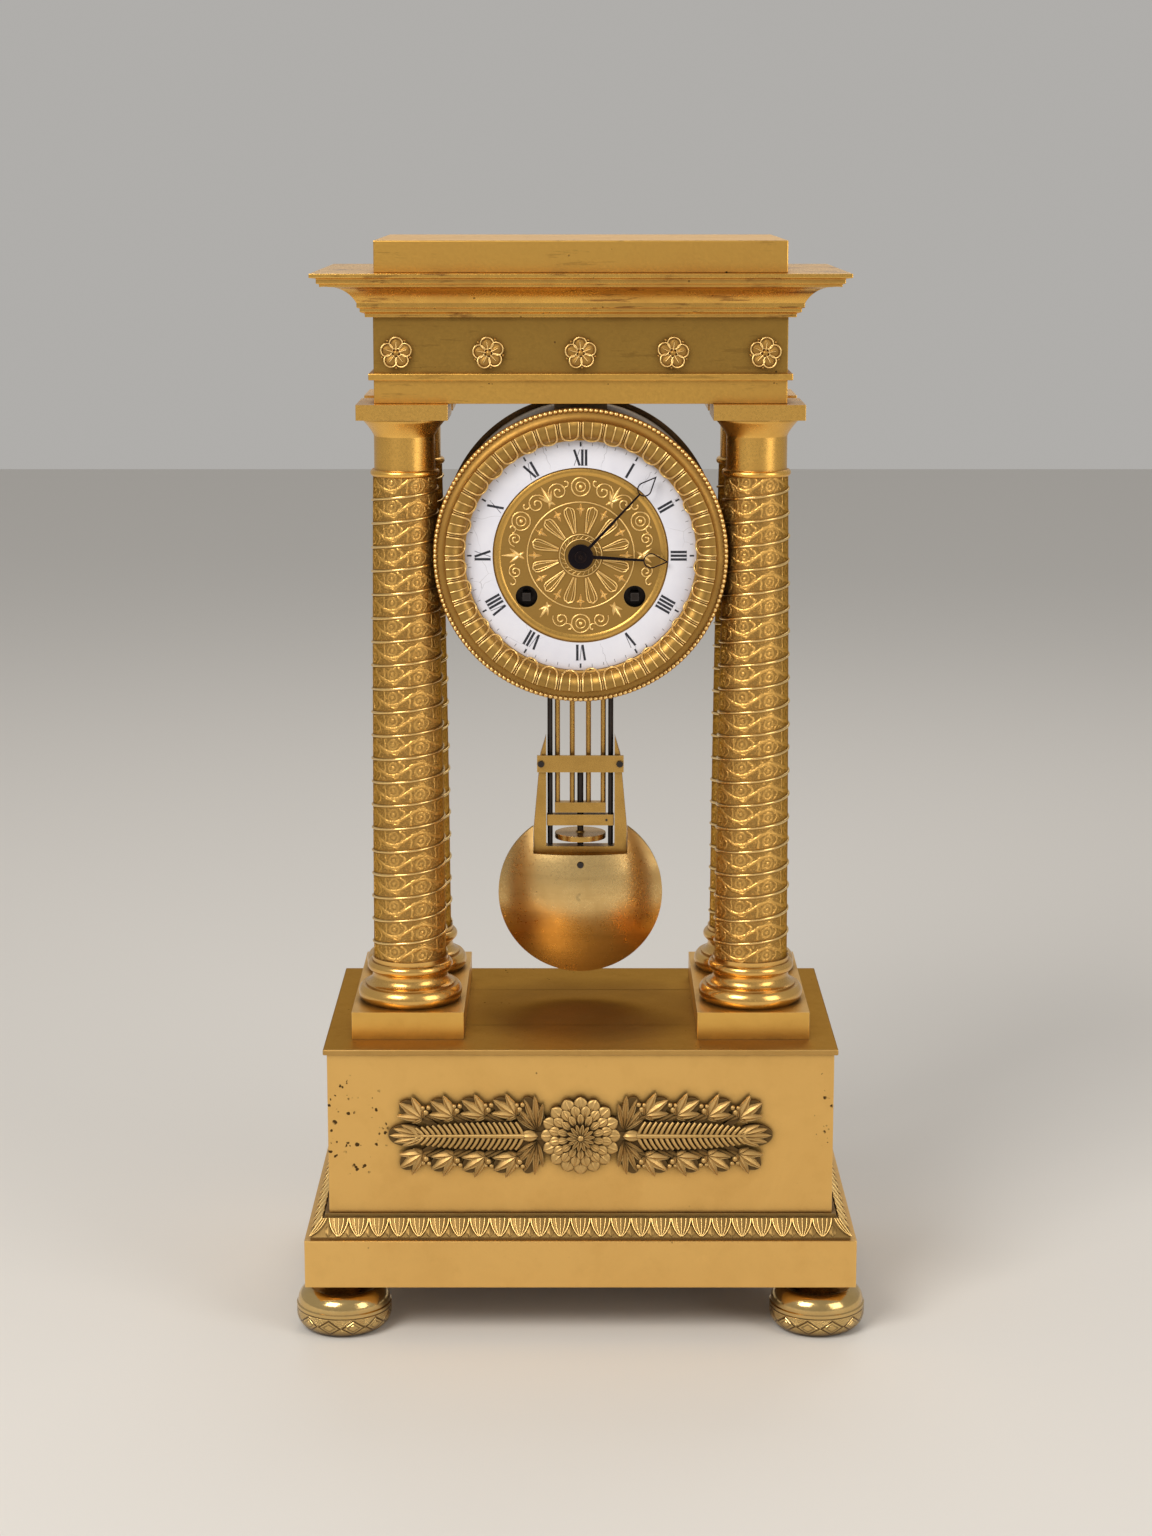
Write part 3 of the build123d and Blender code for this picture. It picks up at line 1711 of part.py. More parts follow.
# Bob: a heavy lens of sheet brass filled with lead, notched for the stirrup
with BuildPart() as bob:
    lens_plane = Plane(origin=(0, pendulum_y, bob_z), x_dir=(0, 0, -1), z_dir=(1, 0, 0))
    with BuildSketch(lens_plane) as lens:
        with BuildLine():
            for side in (-1, 1):
                TangentArc(
                    (0, side * bob_half_depth),
                    (bob_radius, side * bob_rim_half_depth),
                    tangent=(1, 0),
                )
            Line((bob_radius, -bob_rim_half_depth), (bob_radius, bob_rim_half_depth))
            Line((0, bob_half_depth), (0, -bob_half_depth))
        make_face()
    revolve(lens.sketch, axis=Axis((0, 0, bob_z), (0, 1, 0)))
    notch_half = stirrup_foot_width / 2 + bob_notch_clearance
    block(
        (-notch_half, pendulum_y - bob_half_depth - overrun, stirrup_foot_z),
        (notch_half, pendulum_y + bob_half_depth + overrun, bob_z + bob_radius + overrun),
        mode=Mode.SUBTRACT,
    )
save(bob, "bob")
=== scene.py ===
import math

import bmesh
import bpy
from mathutils import Matrix, Vector


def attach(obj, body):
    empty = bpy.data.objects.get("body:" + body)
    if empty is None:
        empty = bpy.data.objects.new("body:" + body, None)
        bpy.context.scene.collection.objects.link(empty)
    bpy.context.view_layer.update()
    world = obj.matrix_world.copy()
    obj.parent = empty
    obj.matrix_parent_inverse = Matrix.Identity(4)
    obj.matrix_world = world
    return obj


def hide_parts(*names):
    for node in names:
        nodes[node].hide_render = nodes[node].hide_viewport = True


# Frame: the clock's sub-parts as they were made, in metres, with +Z up and the dial facing -Y.
# Everything dressed below is laid over these or stands for one of them.
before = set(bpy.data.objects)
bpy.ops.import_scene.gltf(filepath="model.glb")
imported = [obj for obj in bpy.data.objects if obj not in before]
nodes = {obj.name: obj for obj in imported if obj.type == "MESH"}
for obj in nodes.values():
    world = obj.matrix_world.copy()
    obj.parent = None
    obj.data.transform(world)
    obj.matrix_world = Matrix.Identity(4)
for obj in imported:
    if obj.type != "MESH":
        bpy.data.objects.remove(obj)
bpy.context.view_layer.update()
MM = 0.001
case_body = "case"


# Plinth and base box: a cast plinth under a box of fire-gilt brass sheet, soldered at its corners
# and closed below by an oak board. Its thin top plate is stained and pitted, and is painted darker
# still as a painted dark reflection. The gilding's ageing, which every metal here shares, is one
# node
# group: clouds, pale rubbed edges that are also a painted highlight, and brown hollows that are dirt
# and painted shade.
hollow_reach, edge_reach, bump_height = 0.006, 0.0007, 0.0004
pit_colour = (0.035, 0.022, 0.012)
edge_angle = 35.0


def ramp(value, low, high, out_low=0.0, out_high=1.0):
    """Maps a value from one range to another and clamps it."""
    tree = value.id_data
    node = tree.nodes.new("ShaderNodeMapRange")
    limits = (("From Min", low), ("From Max", high), ("To Min", out_low), ("To Max", out_high))
    for label, limit in limits:
        node.inputs[label].default_value = limit
    tree.links.new(value, node.inputs["Value"])
    return node.outputs["Result"]


def calc(operation, a, b=None):
    """A math node on a socket and a second socket or number, in either order."""
    tree = (b if isinstance(a, (int, float)) else a).id_data
    node = tree.nodes.new("ShaderNodeMath")
    node.operation = operation
    for socket, value in zip(node.inputs, (a, b)):
        if isinstance(value, (int, float)):
            socket.default_value = value
        elif value is not None:
            tree.links.new(value, socket)
    return node.outputs[0]


def plus(a, b):
    """The sum of two sockets or numbers."""
    return calc("ADD", a, b)


def minus(a, b):
    """The first of two sockets or numbers less the second."""
    return calc("SUBTRACT", a, b)


def times(a, b):
    """The product of two sockets or numbers."""
    return calc("MULTIPLY", a, b)


def mix_colour(factor, a, b):
    """A colour mix on sockets or colours."""
    tree = factor.id_data
    node = tree.nodes.new("ShaderNodeMix")
    node.data_type = "RGBA"
    for socket, value in ((node.inputs[0], factor), (node.inputs[6], a), (node.inputs[7], b)):
        if isinstance(value, tuple):
            socket.default_value = (*value, 1.0)
        else:
            tree.links.new(value, socket)
    return node.outputs[2]


def own_places(tree):
    """The object's own coordinates, in metres."""
    return tree.nodes.new("ShaderNodeTexCoord").outputs["Object"]


def drawn_out(tree, scale):
    """The object's own coordinates, drawn out along the axes whose scale is small."""
    node = tree.nodes.new("ShaderNodeMapping")
    node.inputs["Scale"].default_value = scale
    tree.links.new(own_places(tree), node.inputs["Vector"])
    return node.outputs["Vector"]


def texture(kind, vector, **settings):
    """A texture node of a kind on a vector, with its inputs set."""
    tree = vector.id_data
    node = tree.nodes.new("ShaderNodeTex" + kind)
    for label, value in settings.items():
        node.inputs[label].default_value = value
    tree.links.new(vector, node.inputs["Vector"])
    return node


def noise(vector, scale, detail=3.0, rough=0.55, distortion=0.0):
    """A noise texture's value on a vector."""
    settings = {"Scale": scale, "Detail": detail, "Roughness": rough, "Distortion": distortion}
    return texture("Noise", vector, **settings).outputs["Fac"]


def vector_math(operation, *sources):
    """A vector math node on a socket and more sockets or triples; its outputs."""
    tree = sources[0].id_data
    node = tree.nodes.new("ShaderNodeVectorMath")
    node.operation = operation
    for socket, source in zip(node.inputs, sources):
        if isinstance(source, tuple):
            socket.default_value = source
        else:
            tree.links.new(source, socket)
    return node.outputs


def openness(tree, reach):
    """How open a place is to the light, looking as far as a reach in metres."""
    node = tree.nodes.new("ShaderNodeAmbientOcclusion")
    node.samples = 6
    node.inputs["Distance"].default_value = reach
    return node.outputs["AO"]


def make_patina():
    """The group that clouds, pits and rubs a metal and darkens its hollows: dirt and painted shade.
    """
    tree = bpy.data.node_groups.new("patina", "ShaderNodeTree")
    for side, kind, labels in (
        ("INPUT", "Color", ("Base", "Cloud", "Grime and shade", "Rubbed")),
        ("INPUT", "Float", ("Clouding", "Pitting", "Wear", "Crevice")),
        ("OUTPUT", "Color", ("Colour",)), ("OUTPUT", "Float", ("Rough", "Height")),
    ):
        for label in labels:
            tree.interface.new_socket(name=label, in_out=side, socket_type="NodeSocket" + kind)
    given = tree.nodes.new("NodeGroupInput").outputs
    made = tree.nodes.new("NodeGroupOutput").inputs
    coords = own_places(tree)
    broad = noise(coords, 24.0, 5.0, 0.6, 0.6)
    middle = noise(coords, 95.0, 4.0, 0.6)
    fine = noise(coords, 900.0, 2.0)
    cloud = plus(ramp(broad, 0.42, 0.68), ramp(middle, 0.5, 0.8))
    cloud = ramp(times(cloud, given["Clouding"]), 0.0, 1.6)
    # Hollows found by ambient occlusion take the grime colour: dirt, and painted shade where shade
    # falls.
    hollow = ramp(openness(tree, hollow_reach), 0.35, 0.92, 1.0, 0.0)
    dirt_and_shade = times(hollow, ramp(middle, 0.25, 0.6, 0.6, 1.0))
    dirt_and_shade = times(dirt_and_shade, given["Crevice"])
    # Edges found by the bevel normal take the rubbed colour: wear, and a painted highlight that
    # keeps them bright.
    bevel = tree.nodes.new("ShaderNodeBevel")
    bevel.samples = 6
    bevel.inputs["Radius"].default_value = edge_reach
    normal = tree.nodes.new("ShaderNodeNewGeometry").outputs["Normal"]
    bend = vector_math("DOT_PRODUCT", bevel.outputs["Normal"], normal)["Value"]
    edge = ramp(bend, 0.80, 0.985, 1.0, 0.0)
    edge = times(edge, ramp(middle, 0.35, 0.62, 0.25, 1.0))
    edge = times(edge, given["Wear"])
    cells = texture("Voronoi", coords, Scale=260.0, Randomness=1.0)
    speck = ramp(cells.outputs["Distance"], 0.10, 0.20, 1.0, 0.0)
    patchy = ramp(noise(coords, 16.0, 3.0), 0.56, 0.72)
    chance = ramp(noise(coords, 120.0, 1.0), 0.60, 0.66)
    pit = times(speck, plus(patchy, times(chance, 0.5)))
    pit = times(times(pit, chance), given["Pitting"])
    pit = ramp(pit, 0.15, 0.5)
    colour = mix_colour(cloud, given["Base"], given["Cloud"])
    colour = mix_colour(edge, colour, given["Rubbed"])
    colour = mix_colour(dirt_and_shade, colour, given["Grime and shade"])
    tree.links.new(mix_colour(pit, colour, pit_colour), made["Colour"])
    rough = plus(times(cloud, 0.10), times(dirt_and_shade, 0.25))
    rough = plus(rough, times(pit, 0.4))
    tree.links.new(plus(rough, ramp(fine, 0.3, 0.7, -0.03, 0.05)), made["Rough"])
    height = minus(times(middle, 0.35), times(pit, 0.8))
    tree.links.new(plus(height, times(fine, 0.10)), made["Height"])
    return tree


patina = make_patina()


def new_material(name):
    """A material, its node tree and its shader."""
    made = bpy.data.materials.new(name)
    made.use_nodes = True
    return made, made.node_tree, made.node_tree.nodes["Principled BSDF"]


def raise_bumps(shader, height, strength, distance):
    """Lets a height bend the light on a surface."""
    tree = height.id_data
    bumps = tree.nodes.new("ShaderNodeBump")
    bumps.inputs["Strength"].default_value = strength
    bumps.inputs["Distance"].default_value = distance
    tree.links.new(height, bumps.inputs["Height"])
    tree.links.new(bumps.outputs["Normal"], shader.inputs["Normal"])


def metal(
    name, base, cloud, grime_and_shade=(0.10, 0.055, 0.02), rubbed=(0.86, 0.64, 0.30), rough=0.3,
    clouding=0.6, pitting=0.0, wear=0.5, crevice=0.8, bump=0.15, edge=None, relief=None,
):
    """A worn metal; relief, if given, adds a pattern's height and its own darkening."""
    made, tree, shader = new_material(name)
    group = tree.nodes.new("ShaderNodeGroup")
    group.node_tree = patina
    # Rubbed colours the edges as wear and a painted highlight; the grime colour darkens hollows as
    # dirt and painted shade.
    for label, tint in (("Base", base), ("Cloud", cloud), ("Grime and shade", grime_and_shade), ("Rubbed", rubbed)):
        group.inputs[label].default_value = (*tint, 1.0)
    amounts = (("Clouding", clouding), ("Pitting", pitting), ("Wear", wear), ("Crevice", crevice))
    for label, amount in amounts:
        group.inputs[label].default_value = amount
    colour = group.outputs["Colour"]
    height = group.outputs["Height"]
    if relief is not None:
        pattern, depth, ground = relief(tree)
        colour = mix_colour(ramp(pattern, 0.0, 0.55, ground, 0.0), colour, grime_and_shade)
        height = plus(height, times(pattern, depth))
    tree.links.new(colour, shader.inputs["Base Color"])
    tree.links.new(plus(group.outputs["Rough"], rough), shader.inputs["Roughness"])
    shader.inputs["Metallic"].default_value = 1.0
    # An edge tint dims the reflection at grazing angles: a painted dark reflection along the
    # silhouettes.
    if edge is not None:
        shader.inputs["Specular Tint"].default_value = (*edge, 1.0)
    raise_bumps(shader, height, bump, bump_height)
    return made


def falloff(tree, place, reach):
    """One at a place given in millimetres, sinking to nothing at its reach along each axis."""
    away = tree.nodes.new("ShaderNodeMapping")
    away.vector_type = "POINT"
    away.inputs["Location"].default_value = [-at / size for at, size in zip(place, reach)]
    away.inputs["Scale"].default_value = [1 / (size * MM) for size in reach]
    tree.links.new(own_places(tree), away.inputs["Vector"])
    length = vector_math("LENGTH", away.outputs["Vector"])["Value"]
    return ramp(length, 0.35, 1.0, 1.0, 0.0)


def pits(near):
    """Clumps of small dark pits where the mask near is high."""
    coords = own_places(near.id_data)
    cells = texture("Voronoi", coords, Scale=380.0, Randomness=1.0)
    size = ramp(noise(coords, 260.0, 2.0), 0.40, 0.62, 0.0, 0.50)
    speck = ramp(minus(cells.outputs["Distance"], size), -0.14, 0.0, 1.0, 0.0)
    clump = ramp(noise(coords, 85.0, 2.0), 0.42, 0.50)
    return times(times(speck, clump), ramp(near, 0.05, 0.35))


def pitted(tree):
    """Dark pits in a cluster on the left of the box's front and a few at its right end."""
    left = falloff(tree, (-105.0, -70.0, 100.0), (20.0, 9.0, 30.0))
    right = falloff(tree, (112.0, -70.0, 106.0), (5.0, 9.0, 26.0))
    return minus(1.0, pits(calc("MAXIMUM", left, right))), 0.9, 0.95


def stained_and_reflecting(tree):
    """Brown clouding mid plate, a stain and a painted dark reflection, and pits worn along its front
    edge.
    """
    middle = falloff(tree, (4.0, -4.0, 133.0), (104.0, 84.0, 30.0))
    cloudy = ramp(noise(own_places(tree), 24.0, 4.0, 0.55, 0.4), 0.30, 0.60, 0.82, 1.0)
    stain_and_reflection = times(times(ramp(middle, 0.0, 0.8), cloudy), 0.9)
    edge = pits(falloff(tree, (30.0, -77.0, 131.5), (170.0, 4.0, 3.0)))
    return minus(1.0, calc("MAXIMUM", stain_and_reflection, edge)), 0.0, 1.0


def make_oak():
    """Oak board, with grain drawn out along its length."""
    made, tree, shader = new_material("oak")
    drawn = drawn_out(tree, (0.06, 1.0, 1.0))
    grain = noise(drawn, 420.0, 5.0, 0.65)
    rings = noise(drawn, 90.0, 3.0)
    colour = mix_colour(ramp(grain, 0.35, 0.7), (0.22, 0.13, 0.06), (0.11, 0.062, 0.03))
    colour = mix_colour(ramp(rings, 0.4, 0.65), colour, (0.27, 0.17, 0.085))
    tree.links.new(colour, shader.inputs["Base Color"])
    shader.inputs["Roughness"].default_value = 0.72
    raise_bumps(shader, grain, 0.3, 0.0003)
    return made


def dress(name, material, ease=0.0):
    """Give a solid its finish and ease its edges by a width in millimetres."""
    piece = nodes[name]
    piece.data.materials.clear()
    piece.data.materials.append(material)
    if ease:
        weld = piece.modifiers.new("weld", "WELD")
        weld.merge_threshold = 1e-6
        soft = piece.modifiers.new("ease", "BEVEL")
        soft.width = ease * MM
        soft.segments = 2
        soft.limit_method = "ANGLE"
        soft.angle_limit = math.radians(edge_angle)
        level = piece.modifiers.new("level", "WEIGHTED_NORMAL")
        level.keep_sharp = True


satin_gilt = metal(
    "satin_gilt", (0.84, 0.52, 0.165), (0.72, 0.425, 0.125), rough=0.34, pitting=0.35, wear=0.45,
    bump=0.12,
)
pitted_gilt = metal(
    "pitted_gilt", (0.80, 0.485, 0.15), (0.69, 0.40, 0.115), grime_and_shade=(0.05, 0.028, 0.012), rough=0.34,
    pitting=0.35, wear=0.45, bump=0.14, relief=pitted,
)
# The top plate's dark gilt is a stain and a painted dark reflection; its edge tint darkens it more.
stained_reflecting_gilt = metal(
    "stained_reflecting_gilt", (0.54, 0.32, 0.097), (0.45, 0.26, 0.076), grime_and_shade=(0.33, 0.19, 0.064), rough=0.44,
    clouding=0.9, pitting=0.6, wear=0.95, crevice=0.5, edge=(0.17, 0.12, 0.07), relief=stained_and_reflecting,
)
dress("plinth", satin_gilt, 0.5)
dress("base_box", pitted_gilt, 0.35)
dress("base_top_plate", stained_reflecting_gilt, 0.5)
dress("base_board", make_oak(), 0.4)


# Leaf moulding: one cast ring of gilt brass between plinth and box, with ribbed leaves that hang
# point down over its ovolo, small tips between them and one larger leaf over each corner. The
# leaves and ring are a dark brown gilt, patina and painted shade, and the chased ribs are bright.
box_half_x, box_half_y = 116.5, 70.0
slope_top, slope_drop, slope_start, slope_run = 56.0, 7.0, 2.5, 5.6
slope_out, slope_up = 0.78, 0.62
leaf_pitch, leaf_fill, corner_leaf, rib_wire = 9.5, 0.97, 9.0, 0.29
leaf_ribs = (-0.94, -0.48, 0.0, 0.48, 0.94)
leaf_patina_shade_gilt = metal(
    "leaf_patina_shade_gilt", (0.29, 0.18, 0.06), (0.23, 0.14, 0.046), grime_and_shade=(0.085, 0.046, 0.017), rough=0.44,
    clouding=0.7, wear=0.6, crevice=1.0, bump=0.2,
)
raised_gilt = metal(
    "raised_gilt", (0.95, 0.66, 0.26), (0.84, 0.54, 0.18), rough=0.35, clouding=0.5, wear=0.3,
    crevice=0.25,
)
dress("leaf_moulding", leaf_patina_shade_gilt)


def settle(piece, material, body):
    """Put a new piece in the scene with its material, moving with its body."""
    piece.data.materials.append(material)
    bpy.context.scene.collection.objects.link(piece)
    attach(piece, body)


def finished(name, bm, material, body=case_body, stands_for=()):
    """Turn a mesh in millimetres into a piece of the clock that moves with a body."""
    bmesh.ops.scale(bm, vec=(MM, MM, MM), verts=bm.verts)
    bmesh.ops.recalc_face_normals(bm, faces=bm.faces)
    mesh = bpy.data.meshes.new(name)
    bm.to_mesh(mesh)
    bm.free()
    mesh.polygons.foreach_set("use_smooth", [True] * len(mesh.polygons))
    mesh.set_sharp_from_angle(angle=math.radians(45.0))
    piece = bpy.data.objects.new(name, mesh)
    settle(piece, material, body)
    if stands_for:
        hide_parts(*stands_for)


def patch(bm, across, along, shape):
    """A grid whose points go where shape(s, t) says, s from -1 to 1 across and t from 0 to 1."""
    made = bmesh.ops.create_grid(bm, x_segments=across, y_segments=along, size=1.0)
    for vert in made["verts"]:
        vert.co = Vector(shape(vert.co.x, (vert.co.y + 1) / 2))


def curve_piece(name, runs, thick, material, body=case_body, resolution=1):
    """Rounded wires through runs of points in millimetres; a fourth number scales the thickness."""
    curve = bpy.data.curves.new(name, "CURVE")
    curve.dimensions = "3D"
    curve.bevel_depth = thick * MM
    curve.bevel_resolution = resolution
    curve.use_fill_caps = True
    for run in runs:
        spline = curve.splines.new("POLY")
        spline.points.add(len(run) - 1)
        for point, place in zip(spline.points, run):
            point.co = (place[0] * MM, place[1] * MM, place[2] * MM, 1.0)
            point.radius = place[3] if len(place) > 3 else 1.0
        spline.use_smooth = True
    settle(bpy.data.objects.new(name, curve), material, body)


def on_moulding(turn, half, along, t, lift, corner=0.0, length=0.0):
    """A place on the moulding's slope, top 0 to foot 1, lifted off it; corner wraps a corner."""
    out = slope_start + slope_run * t + slope_out * lift
    height = slope_top - slope_drop * t + slope_up * lift
    if length:
        return turn @ Vector((length + out + min(corner, 0), -half - out + max(corner, 0), height))
    return turn @ Vector((along, -half - out, height))


def leaf_half(width, t):
    """Half the width of a hanging leaf that is broad above and pointed below."""
    return width / 2 * max(0.0, 1 - t**1.9) ** 0.78 + 0.04


bm = bmesh.new()
runs = []
for quarter in range(4):
    turn = Matrix.Rotation(quarter * math.pi / 2, 3, "Z")
    half, length = (box_half_x, box_half_y) if quarter % 2 else (box_half_y, box_half_x)
    count = round(2 * length / leaf_pitch)
    pitch = 2 * length / count

    def hanging(s, t, lift):
        """A place on the leaf whose middle is at middle."""
        return on_moulding(turn, half, middle + s * leaf_half(pitch * leaf_fill, t), t, lift)

    def at_corner(s, t, lift):
        """A place on the leaf over the corner."""
        corner = s * leaf_half(corner_leaf, t) * (0.5 + 0.5 * t)
        return on_moulding(turn, half, 0, t, lift, corner, length)

    def domed(s, t, low, high):
        """How far a leaf's face stands out, least at its edges and its point."""
        return low + high * (1 - abs(s) ** 3) * min(1.0, 5 * (1 - t) + 0.3)

    def between(s, t):
        """A place on the small tip that shows between two leaves."""
        wide = 1.9 * math.sin(math.pi * (0.12 + 0.88 * t)) + 0.04
        lift = 0.1 + 0.5 * (1 - abs(s))
        return on_moulding(turn, half, middle + s * wide, 0.42 + 0.58 * t, lift)

    for index in range(count):
        middle = -length + (index + 0.5) * pitch
        patch(bm, 8, 8, lambda s, t: hanging(s, t, domed(s, t, 0.15, 0.55)))
        for s in leaf_ribs:
            run = []
            for t in (0.02, 0.2, 0.4, 0.6, 0.78, 0.9, 0.98):
                thick = (0.85 + 0.65 * s * s) * (1.1 - 0.4 * t)
                run.append((*hanging(s, t, 0.8 - 0.35 * abs(s) ** 3), thick))
            runs.append(run)
    for index in range(count + 1):
        middle = -length + index * pitch
        patch(bm, 4, 5, between)
    patch(bm, 8, 8, lambda s, t: at_corner(s, t, domed(s, t, 0.2, 0.7)))
    for s in leaf_ribs:
        steps = (0.02, 0.25, 0.5, 0.75, 0.98)
        runs.append([(*at_corner(s, t, 0.9), 1.1 - 0.4 * t) for t in steps])
finished("moulding_leaves", bm, leaf_patina_shade_gilt)
curve_piece("moulding_ribs", runs, rib_wire, raised_gilt)


# Columns: gilt brass shafts on turned bases and square plinths, clamped by tie rods. A rounded
# rib climbs each shaft twenty times, and between its turns a stippled band carries a chased vine
# that scrolls from side to side with a leaf in each bend.
column_x, column_y = 80.0, 28.5
shaft_low, shaft_high, shaft_foot, shaft_head, shaft_swell = 171.0, 396.0, 16.9, 14.5, 0.35
rib_pitch, rib_end, rib_thick, rib_steps = 10.9, 1.2, 0.62, 56
vine_waves, band_length = 4.0, 98.0
shaft_centres = {
    "front_left": (-1, -1),
    "front_right": (1, -1),
    "rear_left": (-1, 1),
    "rear_right": (1, 1),
}


def wrapped(tree, centre_x, centre_y):
    """Angle in turns and height in millimetres round four upright axes, one in each quarter."""
    split = tree.nodes.new("ShaderNodeSeparateXYZ")
    tree.links.new(own_places(tree), split.inputs[0])
    local = []
    for socket, centre in ((split.outputs["X"], centre_x), (split.outputs["Y"], centre_y)):
        local.append(minus(socket, times(calc("SIGN", socket), centre * MM)))
    angle = calc("DIVIDE", calc("ARCTAN2", local[1], local[0]), math.tau)
    return angle, calc("DIVIDE", split.outputs["Z"], MM)


def apart(a, b):
    """How far two values are from each other."""
    return calc("ABSOLUTE", minus(a, b))


def vine(tree):
    """Height of the chased vine between the turns of the rib."""
    angle, height = wrapped(tree, column_x, column_y)
    risen = calc("DIVIDE", minus(height, shaft_low + rib_end), rib_pitch)
    risen = minus(risen, angle)
    across = calc("FRACT", risen)
    along = plus(angle, calc("FLOOR", risen))
    phase = times(along, vine_waves)
    wave = times(calc("SINE", times(phase, math.tau)), 0.20)
    pattern = ramp(apart(minus(across, 0.5), wave), 0.03, 0.085, 1.0, 0.0)
    for shift, level in ((0.25, 0.36), (0.75, 0.64)):
        cell = minus(calc("FRACT", minus(phase, shift - 0.5)), 0.5)
        aside = times(cell, band_length / vine_waves / rib_pitch)
        up = minus(across, level)
        far = calc("SQRT", plus(times(aside, aside), times(up, up)))
        ring = ramp(apart(far, 0.20), 0.02, 0.07, 0.4, 0.0)
        petals = calc("COSINE", times(calc("ARCTAN2", up, aside), 5.0))
        edge = plus(times(petals, 0.05), 0.42)
        rim = ramp(apart(far, edge), 0.015, 0.06, 0.9, 0.0)
        heart = ramp(far, 0.03, 0.10, 0.7, 0.0)
        for more in (ring, rim, heart):
            pattern = calc("MAXIMUM", pattern, more)
    coords = own_places(tree)
    leafy = noise(coords, 380.0, 3.0, 0.6, 1.6)
    pattern = times(pattern, ramp(leafy, 0.30, 0.52, 0.5, 1.0))
    sprig = ramp(apart(leafy, 0.5), 0.012, 0.034, 0.9, 0.0)
    pattern = calc("MAXIMUM", pattern, sprig)
    dots = texture("Voronoi", coords, Scale=1500.0)
    inside = ramp(apart(across, 0.5), 0.36, 0.43, 1.0, 0.0)
    pattern = times(pattern, inside)
    # The ground between the raised vine darkens toward the grime colour: dirt and painted shade in
    # the recess.
    return plus(pattern, times(dots.outputs["Distance"], 0.22)), 1.0, 0.68


plinth_gilt = metal(
    "plinth_gilt", (0.78, 0.46, 0.11), (0.64, 0.36, 0.085), rough=0.32, pitting=0.35, wear=0.45,
    bump=0.12,
)
polished_gilt = metal(
    "polished_gilt", (0.82, 0.49, 0.145), (0.66, 0.37, 0.10), rough=0.2, clouding=0.7
)
bright_gilt = metal(
    "bright_gilt", (0.95, 0.66, 0.26), (0.82, 0.50, 0.15), rough=0.22, clouding=0.5
)
chased_gilt = metal(
    "chased_gilt", (0.78, 0.455, 0.125), (0.63, 0.355, 0.092), grime_and_shade=(0.17, 0.088, 0.026),
    rough=0.32, wear=0.4, crevice=1.0, bump=0.8, edge=(0.42, 0.30, 0.18), relief=vine,
)
dress("column_plinths", plinth_gilt, 0.35)
dress("column_bases", polished_gilt)
rib_rise = shaft_high - shaft_low - 2 * rib_end
rib_turns = rib_rise / rib_pitch
steps = round(rib_turns * rib_steps)
for place, (sx, sy) in shaft_centres.items():
    run = []
    for step in range(steps + 1):
        height = shaft_low + rib_end + rib_rise * step / steps
        share = (height - shaft_low) / (shaft_high - shaft_low)
        radius = shaft_foot + (shaft_head - shaft_foot) * share
        radius = radius + 4 * shaft_swell * share * (1 - share) + 0.15
        angle = math.tau * rib_turns * step / steps
        thick = 1 + 0.18 * math.sin(3.1 * angle) * math.sin(0.37 * angle)
        x = sx * column_x + radius * math.cos(angle)
        y = sy * column_y + radius * math.sin(angle)
        run.append((x, y, height, thick))
    curve_piece("rib_" + place, [run], rib_thick, bright_gilt, resolution=2)
    dress("column_shaft_" + place, chased_gilt)


# Capitals: turned from brass and burnished, with a square top. A hollow flares from the neck to
# the underside of the top, and ends in a narrow upright lip.
flare_low, flare_high, flare_foot, flare_out, flare_lip = 414.0, 422.45, 13.85, 5.0, 0.85
turned_gilt = metal(
    "turned_gilt", (0.90, 0.52, 0.125), (0.72, 0.40, 0.09), rough=0.25, clouding=0.7, pitting=0.15,
    bump=0.06,
)
dress("column_capitals", turned_gilt, 0.3)


def flare(s, t):
    """A place on the flare round the column whose signs are sx and sy."""
    radius = flare_foot + flare_out * min(1.0, t / flare_lip) ** 1.3
    x = sx * column_x + radius * math.cos(math.pi * s)
    y = sy * column_y + radius * math.sin(math.pi * s)
    return x, y, flare_low + (flare_high - flare_low) * t


bm = bmesh.new()
for sx, sy in shaft_centres.values():
    patch(bm, 72, 14, flare)
bmesh.ops.remove_doubles(bm, verts=bm.verts, dist=0.001)
finished("capital_flares", bm, turned_gilt)


# Entablature: architrave, frieze, cornice and top block are hollow brass castings, stacked face
# to face. Their gilding has worn through in brown streaks that run along the mouldings.
def weathered(tree, strength):
    """Brown streaks where the gilding has worn through."""
    streak = noise(drawn_out(tree, (0.09, 0.09, 1.0)), 420.0, 5.0, 0.68)
    patchy = ramp(noise(own_places(tree), 26.0, 4.0, 0.6), 0.40, 0.54, 0.25, 1.0)
    worn = times(times(ramp(streak, 0.49, 0.60), patchy), strength)
    return minus(1.0, worn), 0.2, 1.0


def weathered_gilt(name, base, cloud, grime_and_shade, rough, strength):
    """Gilding worn in streaks of a given strength."""
    return metal(
        name, base, cloud, grime_and_shade=grime_and_shade, rubbed=(0.24, 0.10, 0.035), rough=rough, clouding=0.8,
        pitting=0.8, wear=0.7, relief=lambda tree: weathered(tree, strength),
    )


